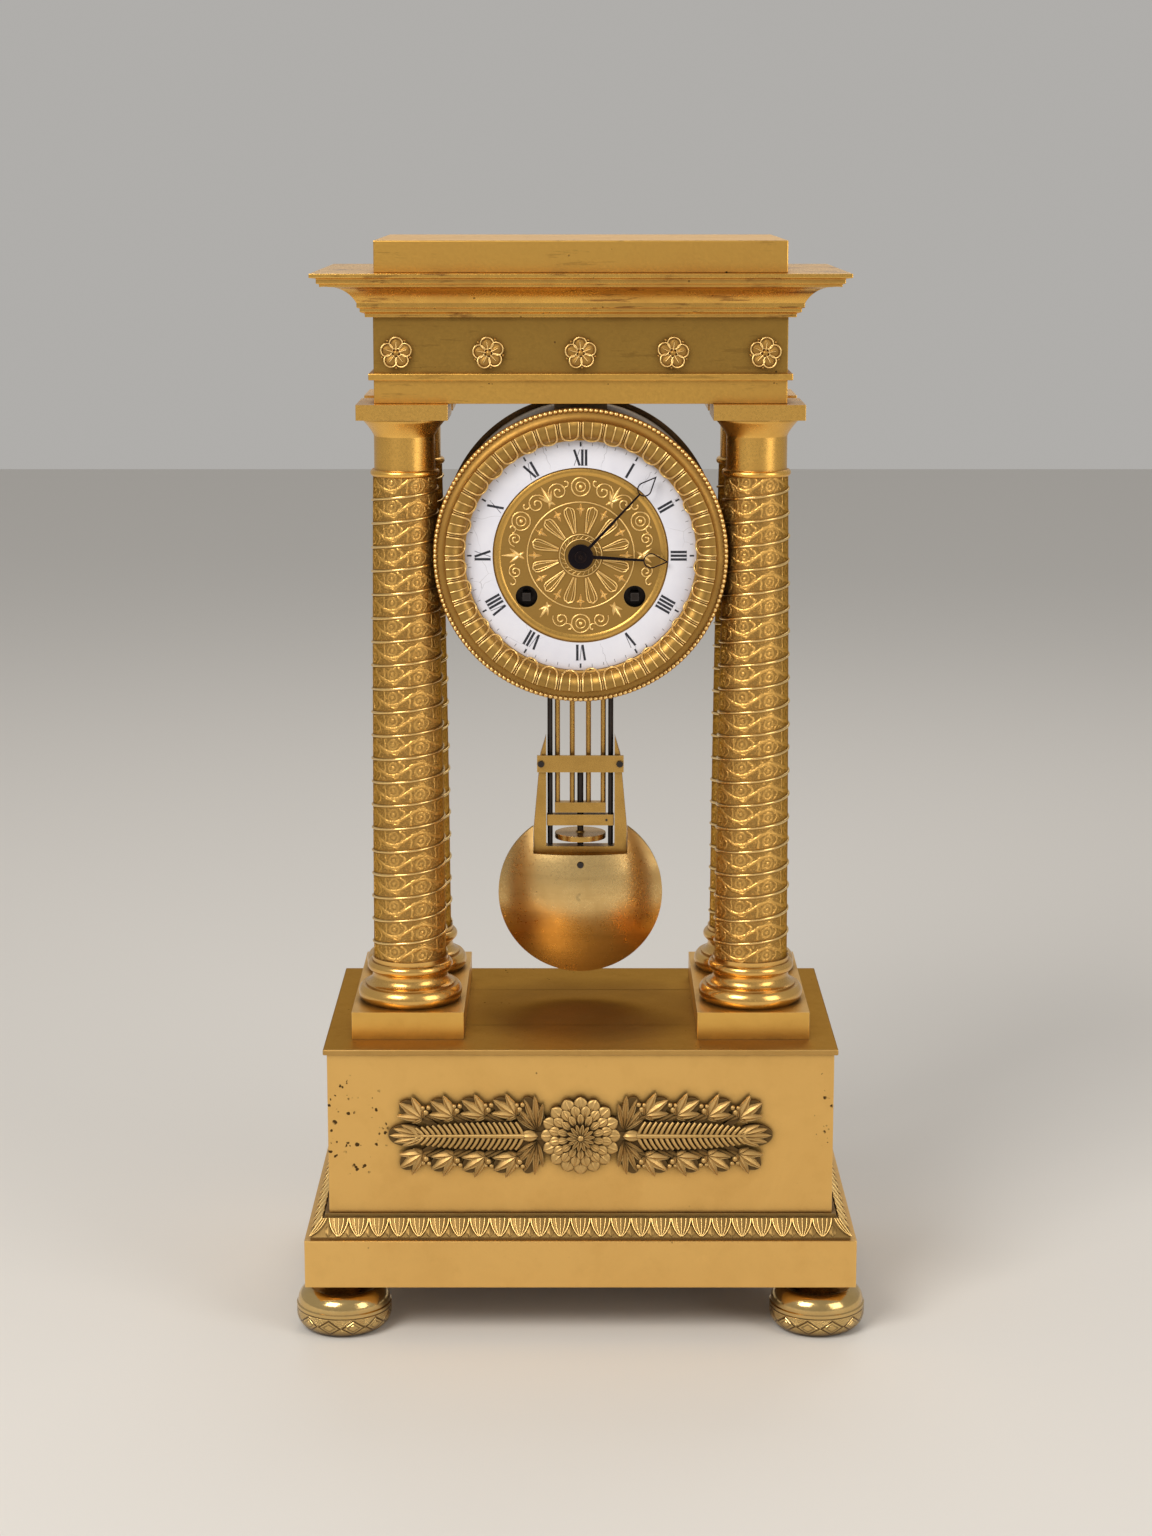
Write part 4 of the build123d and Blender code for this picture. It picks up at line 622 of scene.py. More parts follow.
aged_gilt = weathered_gilt(
    "aged_gilt", (0.80, 0.455, 0.10), (0.60, 0.335, 0.075), (0.27, 0.135, 0.035), 0.31, 0.62
)
cornice_gilt = weathered_gilt(
    "cornice_gilt", (0.84, 0.49, 0.115), (0.62, 0.34, 0.08), (0.23, 0.09, 0.03), 0.25, 0.85
)
shaded_gilt = weathered_gilt(
    "shaded_gilt", (0.41, 0.235, 0.052), (0.31, 0.175, 0.039), (0.17, 0.09, 0.022), 0.36, 0.6
)
dress("architrave", aged_gilt, 0.4)
dress("frieze", shaded_gilt, 0.3)
dress("cornice", cornice_gilt, 0.25)
dress("top_block", aged_gilt, 0.45)


# Drum and movement: a drum of rolled brass left dark, with its saddle, rear ring and door; inside
# it the plates, pillars, barrels and wheels of cast and cut brass, arbors and pinions of steel,
# pinned and pivoted together, and a cast bell.
dark_brass = metal(
    "dark_brass", (0.27, 0.195, 0.11), (0.17, 0.12, 0.068), grime_and_shade=(0.04, 0.026, 0.015),
    rubbed=(0.38, 0.26, 0.12), rough=0.38, clouding=0.9, pitting=0.5,
)
movement_brass = metal(
    "movement_brass", (0.60, 0.40, 0.13), (0.42, 0.27, 0.085), rough=0.28, wear=0.6
)
dark_steel = metal(
    "dark_steel", (0.055, 0.048, 0.045), (0.035, 0.024, 0.018), grime_and_shade=(0.012, 0.009, 0.008),
    rubbed=(0.17, 0.15, 0.14), rough=0.34, clouding=0.8, wear=0.7,
)
drum_parts = "drum drum_saddle rear_ring rear_door"
brass_parts = (
    "dial_plate front_plate back_plate pillars going_barrel strike_barrel intermediate_wheel "
    "centre_wheel third_wheel escape_wheel hour_wheel minute_wheel count_wheel pin_wheel "
    "suspension_cock"
)
steel_parts = (
    "tie_rods hinge_pin going_winding_arbor strike_winding_arbor cannon_pinion pallets hammer "
    "bell_stand suspension_spring"
)
for material, parts in (
    (dark_brass, drum_parts), (movement_brass, brass_parts), (dark_steel, steel_parts),
):
    for name in parts.split():
        dress(name, material)
dress("bell", metal("bell_bronze", (0.40, 0.29, 0.15), (0.27, 0.20, 0.11)))


# Bezel: a cast and turned ring of gilt brass on the front of the drum. It has a rim of close-set
# beads, a hollow, and ribbed tongues whose rounded ends lap over the enamel, with a thin dart
# between each two.
dial_z, bezel_face = 360.5, -37.5
bead_count, bead_ring, bead_size, bead_y = 180, 65.9, 1.12, -41.1
tongue_count, tongue_outer, tongue_inner, tongue_half, half_at = 36, 61.2, 52.2, 3.95, 57
band_start, band_edge, band_fall = 53.3, 6.03, 2.0
band_middle, band_base, band_swell = 59.07, 4.29, 36.3
tongue_wire = 0.42
warm_gilt = metal(
    "warm_gilt", (0.44, 0.252, 0.064), (0.36, 0.20, 0.049), grime_and_shade=(0.17, 0.075, 0.02), rough=0.47,
    wear=0.8, crevice=1.0, bump=0.2,
)
# The tongues' hollow faces take a dark gilt, far darker than their rims: painted shade beside the
# rims.
tongue_shade_gilt = metal(
    "tongue_shade_gilt", (0.41, 0.24, 0.063), (0.33, 0.19, 0.048), grime_and_shade=(0.11, 0.055, 0.016),
    rubbed=(0.60, 0.37, 0.12), rough=0.40, crevice=0.7, bump=0.2,
)
dress("bezel", warm_gilt)


def on_dial(radius, angle, y, aside=0.0):
    """A point at a radius and a clock angle in degrees, moved along the tangent by aside."""
    turn = math.radians(angle)
    x = radius * math.sin(turn) + aside * math.cos(turn)
    return Vector((x, y, dial_z + radius * math.cos(turn) - aside * math.sin(turn)))


def ball(bm, place, radius, parts=(10, 6), flat=1.0):
    """A small sphere, flattened from front to back."""
    matrix = Matrix.Translation(place) @ Matrix.Diagonal((1, flat, 1, 1))
    around, along = parts
    bmesh.ops.create_uvsphere(bm, u_segments=around, v_segments=along, radius=radius, matrix=matrix)


def on_tongue(middle, s, t, lift):
    """A place on a tongue, s across it and t from its root to its tip, lifted off the band."""
    radius = tongue_outer + (tongue_inner - tongue_outer) * t
    if radius < band_start:
        rise = band_edge - band_fall * (band_start - radius)
    else:
        rise = band_base + math.sqrt(max(0.0, band_swell - (radius - band_middle) ** 2))
    return on_dial(radius, middle, bezel_face - rise - lift, s * tongue_half * radius / half_at)


def tongue(s, t):
    """A place on the hollow face of the tongue whose middle is at middle."""
    aside = s * math.sqrt(max(0.0, 1 - max(0.0, (t - 0.7) / 0.3) ** 2))
    hollow = 0.35 * math.cos(math.pi * s / 2) ** 2
    return on_tongue(middle, aside, t, 0.55 - hollow - 0.9 * max(0.0, (t - 0.85) / 0.15) ** 2)


bm = bmesh.new()
for index in range(bead_count):
    ball(bm, on_dial(bead_ring, index * 360 / bead_count, bead_y), bead_size)
finished("bezel_beads", bm, raised_gilt)

bm = bmesh.new()
runs = []
for index in range(tongue_count):
    middle = (index + 0.5) * 360 / tongue_count
    wave = 0.05 * math.sin(2.3 * index)
    patch(bm, 8, 8, tongue)
    side = [(1.0, 0.02), (1.02, 0.22), (1.0, 0.45), (0.98, 0.66 + wave)]
    outline = list(side)
    for degrees in range(15, 180, 15):
        a = math.radians(degrees)
        outline.append((0.97 * math.cos(a), 0.70 + wave + 0.29 * math.sin(a)))
    outline += [(-s, t) for s, t in reversed(side)]
    runs.append([(*on_tongue(middle, s, t, 0.75), 0.95 + 0.35 * t) for s, t in outline])
    runs.append([(*on_tongue(middle, 0, 0.03 + 0.13 * k, 0.35), 0.9) for k in range(7)])
    dart = middle + 180 / tongue_count
    runs.append([(*on_tongue(dart, 0, 0.03 + 0.12 * k, 0.3), 0.85 - 0.13 * k) for k in range(6)])
finished("bezel_tongues", bm, tongue_shade_gilt)
curve_piece("bezel_tongue_rims", runs, tongue_wire, raised_gilt)


# Dial ring: white enamel fired on copper, held between dial plate and bezel. Its Roman hours and
# minute strokes are fired paint whose thin lines have worn. Age has left hairlines and a chip.
enamel_front = -39.93
glyph_low, glyph_high = 40.9, 48.1
hour_words = ["XII", "I", "II", "III", "IIII", "V", "VI", "VII", "VIII", "IX", "X", "XI"]
glyph_width = {"I": 1.7, "V": 3.0, "X": 3.2}
bold_width = {"I": 1.1, "V": 1.05, "X": 1.05}
thin_width = {"I": 0.14, "V": 0.3, "X": 0.28}
glyph_gap, serif_half, paint_thick = 0.35, 0.72, 0.05
hour_mark, minute_mark, hour_mark_width, minute_mark_width = (49.5, 51.5), (49.9, 51.3), 0.75, 0.17
crack_wire, chip_angle = 0.055, 144
enamel_white, enamel_grey = (0.72, 0.725, 0.80), (0.65, 0.655, 0.74)


def make_enamel():
    """Cool white enamel with fine hairlines and a faint grey cloud."""
    made, tree, shader = new_material("enamel")
    coords = own_places(tree)
    broad = ramp(noise(coords, 55.0, 3.0), 0.45, 0.75)
    warp = texture("Noise", coords, Scale=120.0, Detail=2.0).outputs["Color"]
    bent = vector_math("MULTIPLY_ADD", warp, (0.004, 0.004, 0.004), coords)["Vector"]
    cells = texture("Voronoi", bent, Scale=42.0, Randomness=0.9)
    cells.feature = "DISTANCE_TO_EDGE"
    hair = ramp(cells.outputs["Distance"], 0.0, 0.006, 1.0, 0.0)
    hair = times(hair, ramp(noise(coords, 30.0, 1.0), 0.52, 0.60))
    colour = mix_colour(broad, enamel_white, enamel_grey)
    # Hollows beside raised parts take a brown: dirt, and painted shade where shade falls.
    dirt_and_shade = ramp(openness(tree, 0.003), 0.3, 0.9, 0.5, 0.0)
    colour = mix_colour(dirt_and_shade, colour, (0.35, 0.22, 0.12))
    colour = mix_colour(times(hair, 0.45), colour, (0.22, 0.21, 0.22))
    tree.links.new(colour, shader.inputs["Base Color"])
    tree.links.new(ramp(broad, 0.0, 1.0, 0.10, 0.18), shader.inputs["Roughness"])
    shader.inputs["Coat Weight"].default_value = 0.4
    return made


def fired_paint(name, colour, worn):
    """Fired paint that has thinned in patches."""
    made, tree, shader = new_material(name)
    thin = ramp(noise(own_places(tree), 900.0, 3.0, 0.6), 0.52, 0.66)
    tree.links.new(mix_colour(thin, colour, worn), shader.inputs["Base Color"])
    shader.inputs["Roughness"].default_value = 0.35
    return made


ink = fired_paint("ink", (0.012, 0.013, 0.02), (0.05, 0.055, 0.08))
faded_ink = fired_paint("faded_ink", (0.13, 0.14, 0.18), (0.42, 0.44, 0.50))
dress("dial_ring", make_enamel())


def stroke(bm, angle, low, high, width):
    """A flat stroke between two places, each an offset along the tangent and a radius."""
    across, along = high[0] - low[0], high[1] - low[1]
    matrix = (
        Matrix.Translation((0, enamel_front, dial_z))
        @ Matrix.Rotation(math.radians(angle), 4, "Y")
        @ Matrix.Translation(((low[0] + high[0]) / 2, 0, (low[1] + high[1]) / 2))
        @ Matrix.Rotation(math.atan2(across, along), 4, "Y")
        @ Matrix.Diagonal((width, paint_thick, math.hypot(across, along), 1))
    )
    bmesh.ops.create_cube(bm, size=1.0, matrix=matrix)


bold = bmesh.new()
thin = bmesh.new()
for hour, word in enumerate(hour_words):
    angle = hour * 30
    start = -sum(glyph_width[letter] for letter in word) / 2
    for letter in word:
        middle = start + glyph_width[letter] / 2
        half = glyph_width[letter] / 2 - glyph_gap
        left, right = middle - half, middle + half
        wide, fine = bold_width[letter], thin_width[letter]
        if letter == "I":
            stroke(bold, angle, (middle, glyph_low), (middle, glyph_high), wide)
            for level in (glyph_low, glyph_high):
                stroke(thin, angle, (middle - serif_half, level), (middle + serif_half, level), fine)
        if letter == "V":
            stroke(bold, angle, (middle, glyph_low), (left, glyph_high), wide)
            stroke(thin, angle, (middle + 0.4, glyph_low + 0.6), (right, glyph_high), fine)
        if letter == "X":
            stroke(bold, angle, (right, glyph_low), (left, glyph_high), wide)
            stroke(thin, angle, (left, glyph_low), (right, glyph_high), fine)
        start += glyph_width[letter]
    stroke(bold, angle, (0, hour_mark[0]), (0, hour_mark[1]), hour_mark_width)
finished("hour_numerals", bold, ink)
finished("hour_hairlines", thin, faded_ink)

bm = bmesh.new()
for minute in range(60):
    if minute % 5:
        stroke(bm, minute * 6, (0, minute_mark[0]), (0, minute_mark[1]), minute_mark_width)
finished("minute_strokes", bm, ink)

runs = []
for angle, outer, inner, drift in (
    (0.6, 53.5, 47.6, 0.5), (-19.5, 53.0, 41.0, 0.6), (14.0, 53.0, 40.6, -0.8),
    (58.0, 53.4, 46.5, 2.5), (62.0, 53.4, 49.0, -3.0), (95.0, 53.0, 48.5, 1.2),
    (150.0, 53.2, 45.0, -1.5), (166.0, 53.2, 40.6, 1.0), (179.0, 53.2, 50.0, 2.0),
    (40.0, 49.8, 40.6, 1.5), (265.0, 53.0, 50.0, 1.0),
):
    run = []
    for share in (step / 12 for step in range(13)):
        sway = drift * share + 0.25 * math.sin(19 * share + angle) + 0.12 * math.sin(47 * share)
        place = on_dial(outer + (inner - outer) * share, angle, enamel_front + 0.02, sway)
        run.append((*place, 1.2 - 0.8 * share))
    runs.append(run)
curve_piece("enamel_cracks", runs, crack_wire, faded_ink)


def lump(bm, place, radius, shape=(1, 1, 1), fineness=2):
    """A small rounded lump, stretched along the axes by its shape."""
    matrix = Matrix.Translation(place) @ Matrix.Diagonal((*shape, 1))
    bmesh.ops.create_icosphere(bm, subdivisions=fineness, radius=radius, matrix=matrix)


bm = bmesh.new()
for aside, radius, size in ((0.0, 51.3, 0.62), (0.5, 52.1, 0.85), (-0.3, 50.4, 0.3)):
    place = on_dial(radius, chip_angle, enamel_front + 0.16, aside)
    lump(bm, place, 1.0, (size * 0.8, 0.2, size * 1.2))
finished("enamel_chip", bm, ink)


# Dial centre: a stamped disc of gilt brass inside the enamel, with a plain burnished rim, roundels
# and paired scrolls on matted ground painted dark as painted shade, and a wheel of twelve fluted
# petals round the hands' hub.
centre_front, wire_thick = -38.9, 0.42
roundel_ring, petal_foot, petal_length, tip_ring = 31.2, 10.4, 12.2, 20.8
rim_ring, rim_half = 38.1, 1.7
matted_shade_gilt = metal(
    "matted_shade_gilt", (0.42, 0.243, 0.063), (0.34, 0.19, 0.048), grime_and_shade=(0.17, 0.09, 0.026), rough=0.42,
    wear=0.3, bump=0.5,
)
rim_gilt = metal(
    "cast_gilt", (0.70, 0.405, 0.10), (0.55, 0.31, 0.075), grime_and_shade=(0.085, 0.045, 0.015), rough=0.27,
    clouding=0.7, wear=0.9, crevice=1.0, bump=0.3,
)
dress("dial_centre", matted_shade_gilt)


def upward(lean):
    """The direction, flat to the front, that leans clockwise from upright by degrees."""
    return Vector((math.sin(math.radians(lean)), 0, math.cos(math.radians(lean))))


def leaf(bm, base, lean, length, width, front, dome=0.8, ribs=2, round_share=0.5, flare=0.0):
    """A cast leaf or petal flat to the front, from a place, leaning clockwise from upright."""
    up = upward(lean)
    side = Vector((up.z, 0, -up.x))

    def shape(s, t):
        half = width / 2 * math.sin(math.pi * min(1.0, t**round_share)) ** 0.7
        half = half * (1 + flare * math.cos(7 * math.pi * t)) + 0.04
        rise = dome * (1 - s**4) * (0.45 + 0.55 * (0.5 + 0.5 * math.cos(ribs * math.pi * s)))
        rise = rise * math.sin(math.pi * min(1.0, 0.12 + 0.88 * t)) ** 0.5
        point = Vector(base) + up * (t * length) + side * (s * half)
        return point.x, front - rise, point.z

    patch(bm, 8, 8, shape)


def spiral(middle, angle, start, sweep, outer, inner, y, hand, steps=26):
    """A scroll's wire round a place given by radius and clock angle, wound inwards."""
    run = []
    for share in (step / steps for step in range(steps + 1)):
        turn = math.radians(start - sweep * share)
        reach = outer + (inner - outer) * share**0.85
        place = on_dial(middle + reach * math.sin(turn), angle, y, hand * reach * math.cos(turn))
        run.append((*place, 0.75 + 0.5 * share))
    return run


runs = []
bm = bmesh.new()
for axis in (0, 60, 180, 300):
    for reach, thick in ((4.2, 1.0), (2.2, 0.8)):
        run = []
        for a in (k * math.tau / 20 for k in range(21)):
            place = on_dial(
                roundel_ring + reach * math.cos(a), axis, centre_front, reach * math.sin(a)
            )
            run.append((*place, thick))
        runs.append(run)
    ball(bm, on_dial(roundel_ring, axis, centre_front), 1.0, flat=0.7)
for angle, hand, size in (
    (19.5, -1, 4.8), (40.5, 1, 4.8), (76, -1, 3.4), (104, 1, 3.4), (163, 1, 4.0), (197, -1, 4.0),
    (256, -1, 3.4), (284, 1, 3.4), (319.5, -1, 4.8), (340.5, 1, 4.8),
):
    runs.append(spiral(30.6, angle, 190, 560, size, 0.7, centre_front - 0.05, hand))
    runs.append(spiral(33.6, angle + hand * 7.5, 330, 250, 2.3, 0.6, centre_front, -hand, 12))
for spray, reach in ((30, 1.0), (90, 1.0), (147, 0.75), (213, 0.75), (270, 1.0), (330, 1.0)):
    foot = on_dial(28.0, spray, 0)
    for lean, length, width in (
        (0, 8.0, 1.7), (-38, 5.4, 1.5), (38, 5.4, 1.5), (-145, 3.0, 1.3), (145, 3.0, 1.3),
    ):
        leaf(bm, foot, spray + lean, length * reach, width, centre_front, 0.4)
for petal in range(12):
    tip = petal * 30
    for hand in (-1, 1):
        for spread, thick, lift in ((1.0, 0.95, 0.25), (0.5, 0.6, 0.1)):
            run = []
            for share in (step / 12 for step in range(13)):
                aside = hand * spread * (0.55 + 2.5 * share) * math.sqrt(max(0.0, 1 - share**7))
                radius = petal_foot + petal_length * share
                run.append((*on_dial(radius, tip + 15, centre_front - lift, aside), thick))
            runs.append(run)
    for lean, length in ((0, 2.8), (-75, 2.0), (75, 2.0), (180, 3.2)):
        leaf(bm, on_dial(tip_ring, tip, 0), tip + lean, length, 1.2, centre_front, 0.5)
for reach, thick in ((24.3, 1.0), (9.5, 1.1), (7.3, 0.8)):
    runs.append([(*on_dial(reach, step * 5, centre_front), thick) for step in range(73)])
for notch in (tick * 15 for tick in range(24)):
    inner, outer = on_dial(7.6, notch, centre_front), on_dial(9.2, notch + 9, centre_front)
    runs.append([(*inner, 0.5), (*outer, 0.5)])
curve_piece("dial_centre_scrolls", runs, wire_thick, raised_gilt)
finished("dial_centre_leaves", bm, raised_gilt)


def rim(s, t):
    """A place on the rim's low round."""
    return on_dial(rim_ring + rim_half * s, 360 * t, centre_front - 0.45 * (1 - s * s))


bm = bmesh.new()
patch(bm, 6, 144, rim)
bmesh.ops.remove_doubles(bm, verts=bm.verts, dist=0.001)
finished("dial_centre_rim", bm, rim_gilt)


# Hands: cut from steel and blued, the minute hand on the cannon pinion and the hour hand on the
# hour wheel. A turned collet with a stepped boss holds them on the arbor.
collet_y, boss_y = -44.85, -45.3
blued_steel = metal(
    "blued_steel", (0.016, 0.014, 0.018), (0.05, 0.026, 0.018), grime_and_shade=(0.008, 0.007, 0.008),
    rubbed=(0.10, 0.06, 0.045), rough=0.26, wear=0.6,
)
facing = Matrix.Rotation(math.pi / 2, 4, "X")


def stud(bm, place, wide, narrow, deep, parts=24, turn=facing):
    """A short turned head on a place, its narrow end to the front or along another turn."""
    bmesh.ops.create_cone(
        bm, cap_ends=True, segments=parts, radius1=wide, radius2=narrow, depth=deep,
        matrix=Matrix.Translation(place) @ turn,
    )


dress("minute_hand", blued_steel, 0.12)
dress("hour_hand", blued_steel, 0.12)
bm = bmesh.new()
stud(bm, (0, collet_y, dial_z), 2.6, 2.0, 0.7, parts=32)
for reach, deep in ((1.5, 0.5), (0.7, 1.1)):
    stud(bm, (0, boss_y, dial_z), reach, reach * 0.8, deep)
finished("hand_collet", bm, blued_steel, body="minute_work")


# Mount on the base: a rosette in four tiers between palm fronds, with leafy tufts, berries and
# a pointed leaf at each end. Cast in one, pinned to the box and left a darker olive gold.
mount_face, mount_z = -72.4, 96.2
frond_start, frond_steps, barb_pitch, barb_thick = 26.5, 20, 2.55, 0.92
tuft_start, tuft_pitch, tuft_height = 34.5, 14.4, 13.2
mount_shade = metal(
    "mount_shade", (0.15, 0.09, 0.034), (0.11, 0.064, 0.024), grime_and_shade=(0.05, 0.028, 0.012),
    rough=0.5, wear=0.2,
)
olive_gilt = metal(
    "olive_gilt", (0.62, 0.40, 0.15), (0.46, 0.295, 0.102), grime_and_shade=(0.085, 0.048, 0.019),
    rubbed=(0.74, 0.52, 0.22), rough=0.45, clouding=0.8, wear=0.8, crevice=1.0, bump=0.3,
)
# The base plate under the leaves is near-black brown: painted shade in the gaps and round the
# mount's outline.
dress("base_mount", mount_shade)


def mount_leaf(x, z, lean, length, width, sunk, dome, round_share, frilled=0.0):
    """A two-ribbed leaf of the mount, from a place over its middle, sunk behind its face."""
    base, front = (x, 0, mount_z + z), mount_face - sunk
    leaf(bm, base, lean, length, width, front, dome, 2, round_share, frilled)


bm = bmesh.new()
runs = []
for side in (-1, 1):
    mount_leaf(side * 19.5, 0, side * 90, 9.0, 5.4, 0.9, 1.4, 0.9)
    spine = [(side * (26.0 + 8.6 * k), mount_face - 0.9, mount_z) for k in range(7)]
    runs.append([(*place, 1.5 - 0.13 * k) for k, place in enumerate(spine)])
    for level in (-1, 1):
        upright = 0 if level > 0 else 180
        hand = side * level
        for step in range(frond_steps):
            root = frond_start + step * barb_pitch
            height = 6.4 * (1 - 0.6 * (step / frond_steps) ** 3)
            run = []
            for share in (0.0, 0.25, 0.5, 0.75, 0.92, 1.0):
                y = mount_face - 0.35 - 0.6 * math.sin(math.pi * share)
                z = mount_z + level * height * share
                run.append((side * (root + 3.4 * share**1.5), y, z, 1.1 - 0.25 * share))
            runs.append(run)
        for lean, length, width in (
            (4, 16.5, 3.6), (22, 16.0, 3.4), (40, 14.5, 3.2), (-12, 13.0, 3.2), (58, 11.0, 2.8),
        ):
            lean = upright + hand * lean
            mount_leaf(side * 20.0, level * 2.6, lean, length, width, 0.0, 1.7, 0.95, 0.06)
        for index in range(4):
            x = tuft_start + index * tuft_pitch
            z = tuft_height - 1.4 * (index / 3) ** 2
            lean = upright + hand * 56
            heel = Vector((side * x, 0, level * z)) - upward(lean) * 6.0
            for twist, length, width in (
                (0, 12.9, 5.4), (-30, 11.8, 4.6), (30, 11.2, 4.6), (-62, 5.6, 2.8), (62, 5.0, 2.6),
            ):
                mount_leaf(heel.x, heel.z, lean + twist, length, width, 0.1, 1.6, 0.62, 0.10)
            for slide, length in ((0.0, 12.5), (4.6, 10.5)):
                foot_x, foot_z = side * (x - 15.0 + slide), level * (6.3 + 0.1 * slide)
                mount_leaf(foot_x, foot_z, upright + hand * 66, length, 1.6, -0.2, 1.3, 1.0)
            for aside, rise, radius in ((8.0, 0.6, 1.5), (6.6, 2.8, 1.2), (9.2, 2.6, 1.1)):
                place = (
                    side * (x - tuft_pitch + aside), mount_face - 0.4,
                    mount_z + level * (z + rise - 1.2),
                )
                lump(bm, place, radius, (1, 0.8, 1))
    for lean, length in ((90, 17.0), (66, 12.5), (114, 12.5), (78, 15.5), (102, 15.5)):
        mount_leaf(side * 71.0, 0, side * lean, length, 3.6, 0.2, 1.5, 1.0)
for count, inner, outer, width, front, turn in (
    (16, 11.5, 18.6, 6.0, -73.0, 0.0), (16, 8.5, 14.8, 4.6, -73.8, 11.25),
    (14, 5.4, 11.0, 3.6, -74.5, 0.0), (14, 0.9, 6.6, 1.9, -76.4, 9.0),
):
    for petal in range(count):
        lean = petal * 360 / count + turn
        root = Vector((0, 0, mount_z)) + inner * upward(lean)
        leaf(bm, root, lean, outer - inner, width, front, 1.0, 3, 1.15)
ball(bm, (0, -76.9, mount_z), 1.5, (16, 10), 0.6)
finished("mount_leaves", bm, olive_gilt)
curve_piece("mount_barbs", runs, barb_thick, olive_gilt, resolution=2)


# Frieze rosettes and side screws: five cast flowers, each of five petals round a domed eye on a
# hub that is pinned through the frieze, and the slotted heads that hold the architrave's ends.
frieze_face, rosette_z, rosette_pitch, hub_radius = -42.5, 452.1, 41.2, 3.6
lobe_length, lobe_width, lobe_back, lobe_middle = 6.1, 6.2, 2.8, 4.3
lobe_edge_up, lobe_edge_aside, lobe_wire = 2.65, 2.95, 0.36
bm = bmesh.new()
runs = []
for index in range(5):
    x = (index - 2) * rosette_pitch
    centre = Vector((x, 0, rosette_z))
    stud(bm, (x, frieze_face - 0.9, rosette_z), hub_radius, hub_radius, 2.0)
    for petal in range(5):
        angle = petal * 72 + 9 * math.sin(5 * index)
        up = upward(angle)
        side = Vector((up.z, 0, -up.x))
        heel, front = centre + up * 1.1, frieze_face - 2.0
        leaf(bm, heel, angle, lobe_length, lobe_width, front, 0.8, 2, 1.3)
        back = centre + up * lobe_middle + Vector((0, frieze_face - 0.3, 0))
        ball(bm, back, lobe_back, (16, 10), 0.68)
        run = []
        for a in (step * math.tau / 16 for step in range(17)):
            place = centre + up * (lobe_middle + lobe_edge_up * math.cos(a))
            place = place + side * (lobe_edge_aside * math.sin(a))
            run.append((place.x, frieze_face - 2.7 - 0.5 * math.cos(a), place.z))
        runs.append(run)
        stem = centre + up * 4.9
        runs.append([(x, frieze_face - 3.0, rosette_z), (stem.x, frieze_face - 2.9, stem.z, 0.6)])
        tip = centre + 6.5 * upward(angle + 36)
        lump(bm, (tip.x, frieze_face - 2.0, tip.z), 0.85, fineness=1)
    ball(bm, (x, frieze_face - 3.2, rosette_z), 1.3, (14, 8), 0.7)
finished("rosette_petals", bm, warm_gilt, stands_for=("frieze_rosettes",))
curve_piece("rosette_edges", runs, lobe_wire, raised_gilt)

screw_x, screw_y, screw_z = 92.9, 28.5, 432.6
bm = bmesh.new()
for side in (-1, 1):
    outward = Matrix.Rotation(side * math.pi / 2, 4, "Y")
    for y in (-screw_y, screw_y):
        stud(bm, (side * screw_x, y, screw_z), 2.2, 1.7, 0.9, 20, outward)
finished("side_screws", bm, warm_gilt)


# Pendulum: a gridiron of drawn steel and brass rods pinned into flat brass bars, with a stirrup
# cut from plate, a rating nut and a brushed bob. Dark screw heads hold its cross bar and the bob.
def brushed(tree):
    """Fine level scratches left by brushing, and darker level bands at random heights."""
    drawn = drawn_out(tree, (0.05, 0.05, 1.0))
    fine = times(noise(drawn, 2200.0, 3.0, 0.6), 0.2)
    bands = times(noise(drawn, 170.0, 3.0, 0.6), 0.95)
    return plus(fine, bands), 0.5, 0.9


pendulum_brass = metal(
    "pendulum_brass", (0.56, 0.33, 0.088), (0.45, 0.26, 0.066), grime_and_shade=(0.10, 0.048, 0.016),
    rough=0.24, clouding=0.9, pitting=0.3, wear=0.7, bump=0.05,
)
bob_brass = metal(
    "bob_brass", (0.76, 0.52, 0.215), (0.63, 0.41, 0.15), grime_and_shade=(0.40, 0.25, 0.09), rough=0.27,
    clouding=0.9, pitting=0.6, wear=0.3, bump=0.04, edge=(0.45, 0.33, 0.20), relief=brushed,
)
dress("grid_bars", pendulum_brass, 0.25)
dress("brass_rods", pendulum_brass)
dress("steel_rods", dark_steel)
dress("bob_stirrup", pendulum_brass, 0.3)
dress("stirrup_bar", pendulum_brass, 0.25)
dress("rating_nut", pendulum_brass, 0.2)
dress("bob", bob_brass)
bm = bmesh.new()
for x, y, z, radius in (
    (-18.9, 18.3, 252.4, 1.75), (18.9, 18.3, 252.4, 1.75), (12.6, 21.4, 224.3, 0.6),
    (0.0, 12.2, 204.0, 1.8),
):
    stud(bm, (x, y, z), radius, radius * 0.8, 0.6)
finished("pendulum_screws", bm, dark_steel, body="pendulum")


# Feet: four turned and burnished brass buns under the plinth's corners, each with a band of
# engraved lozenges and leaves between two ring lines.
foot_x, foot_y, band_z, band_half = 110.9, 61.0, 5.9, 3.9


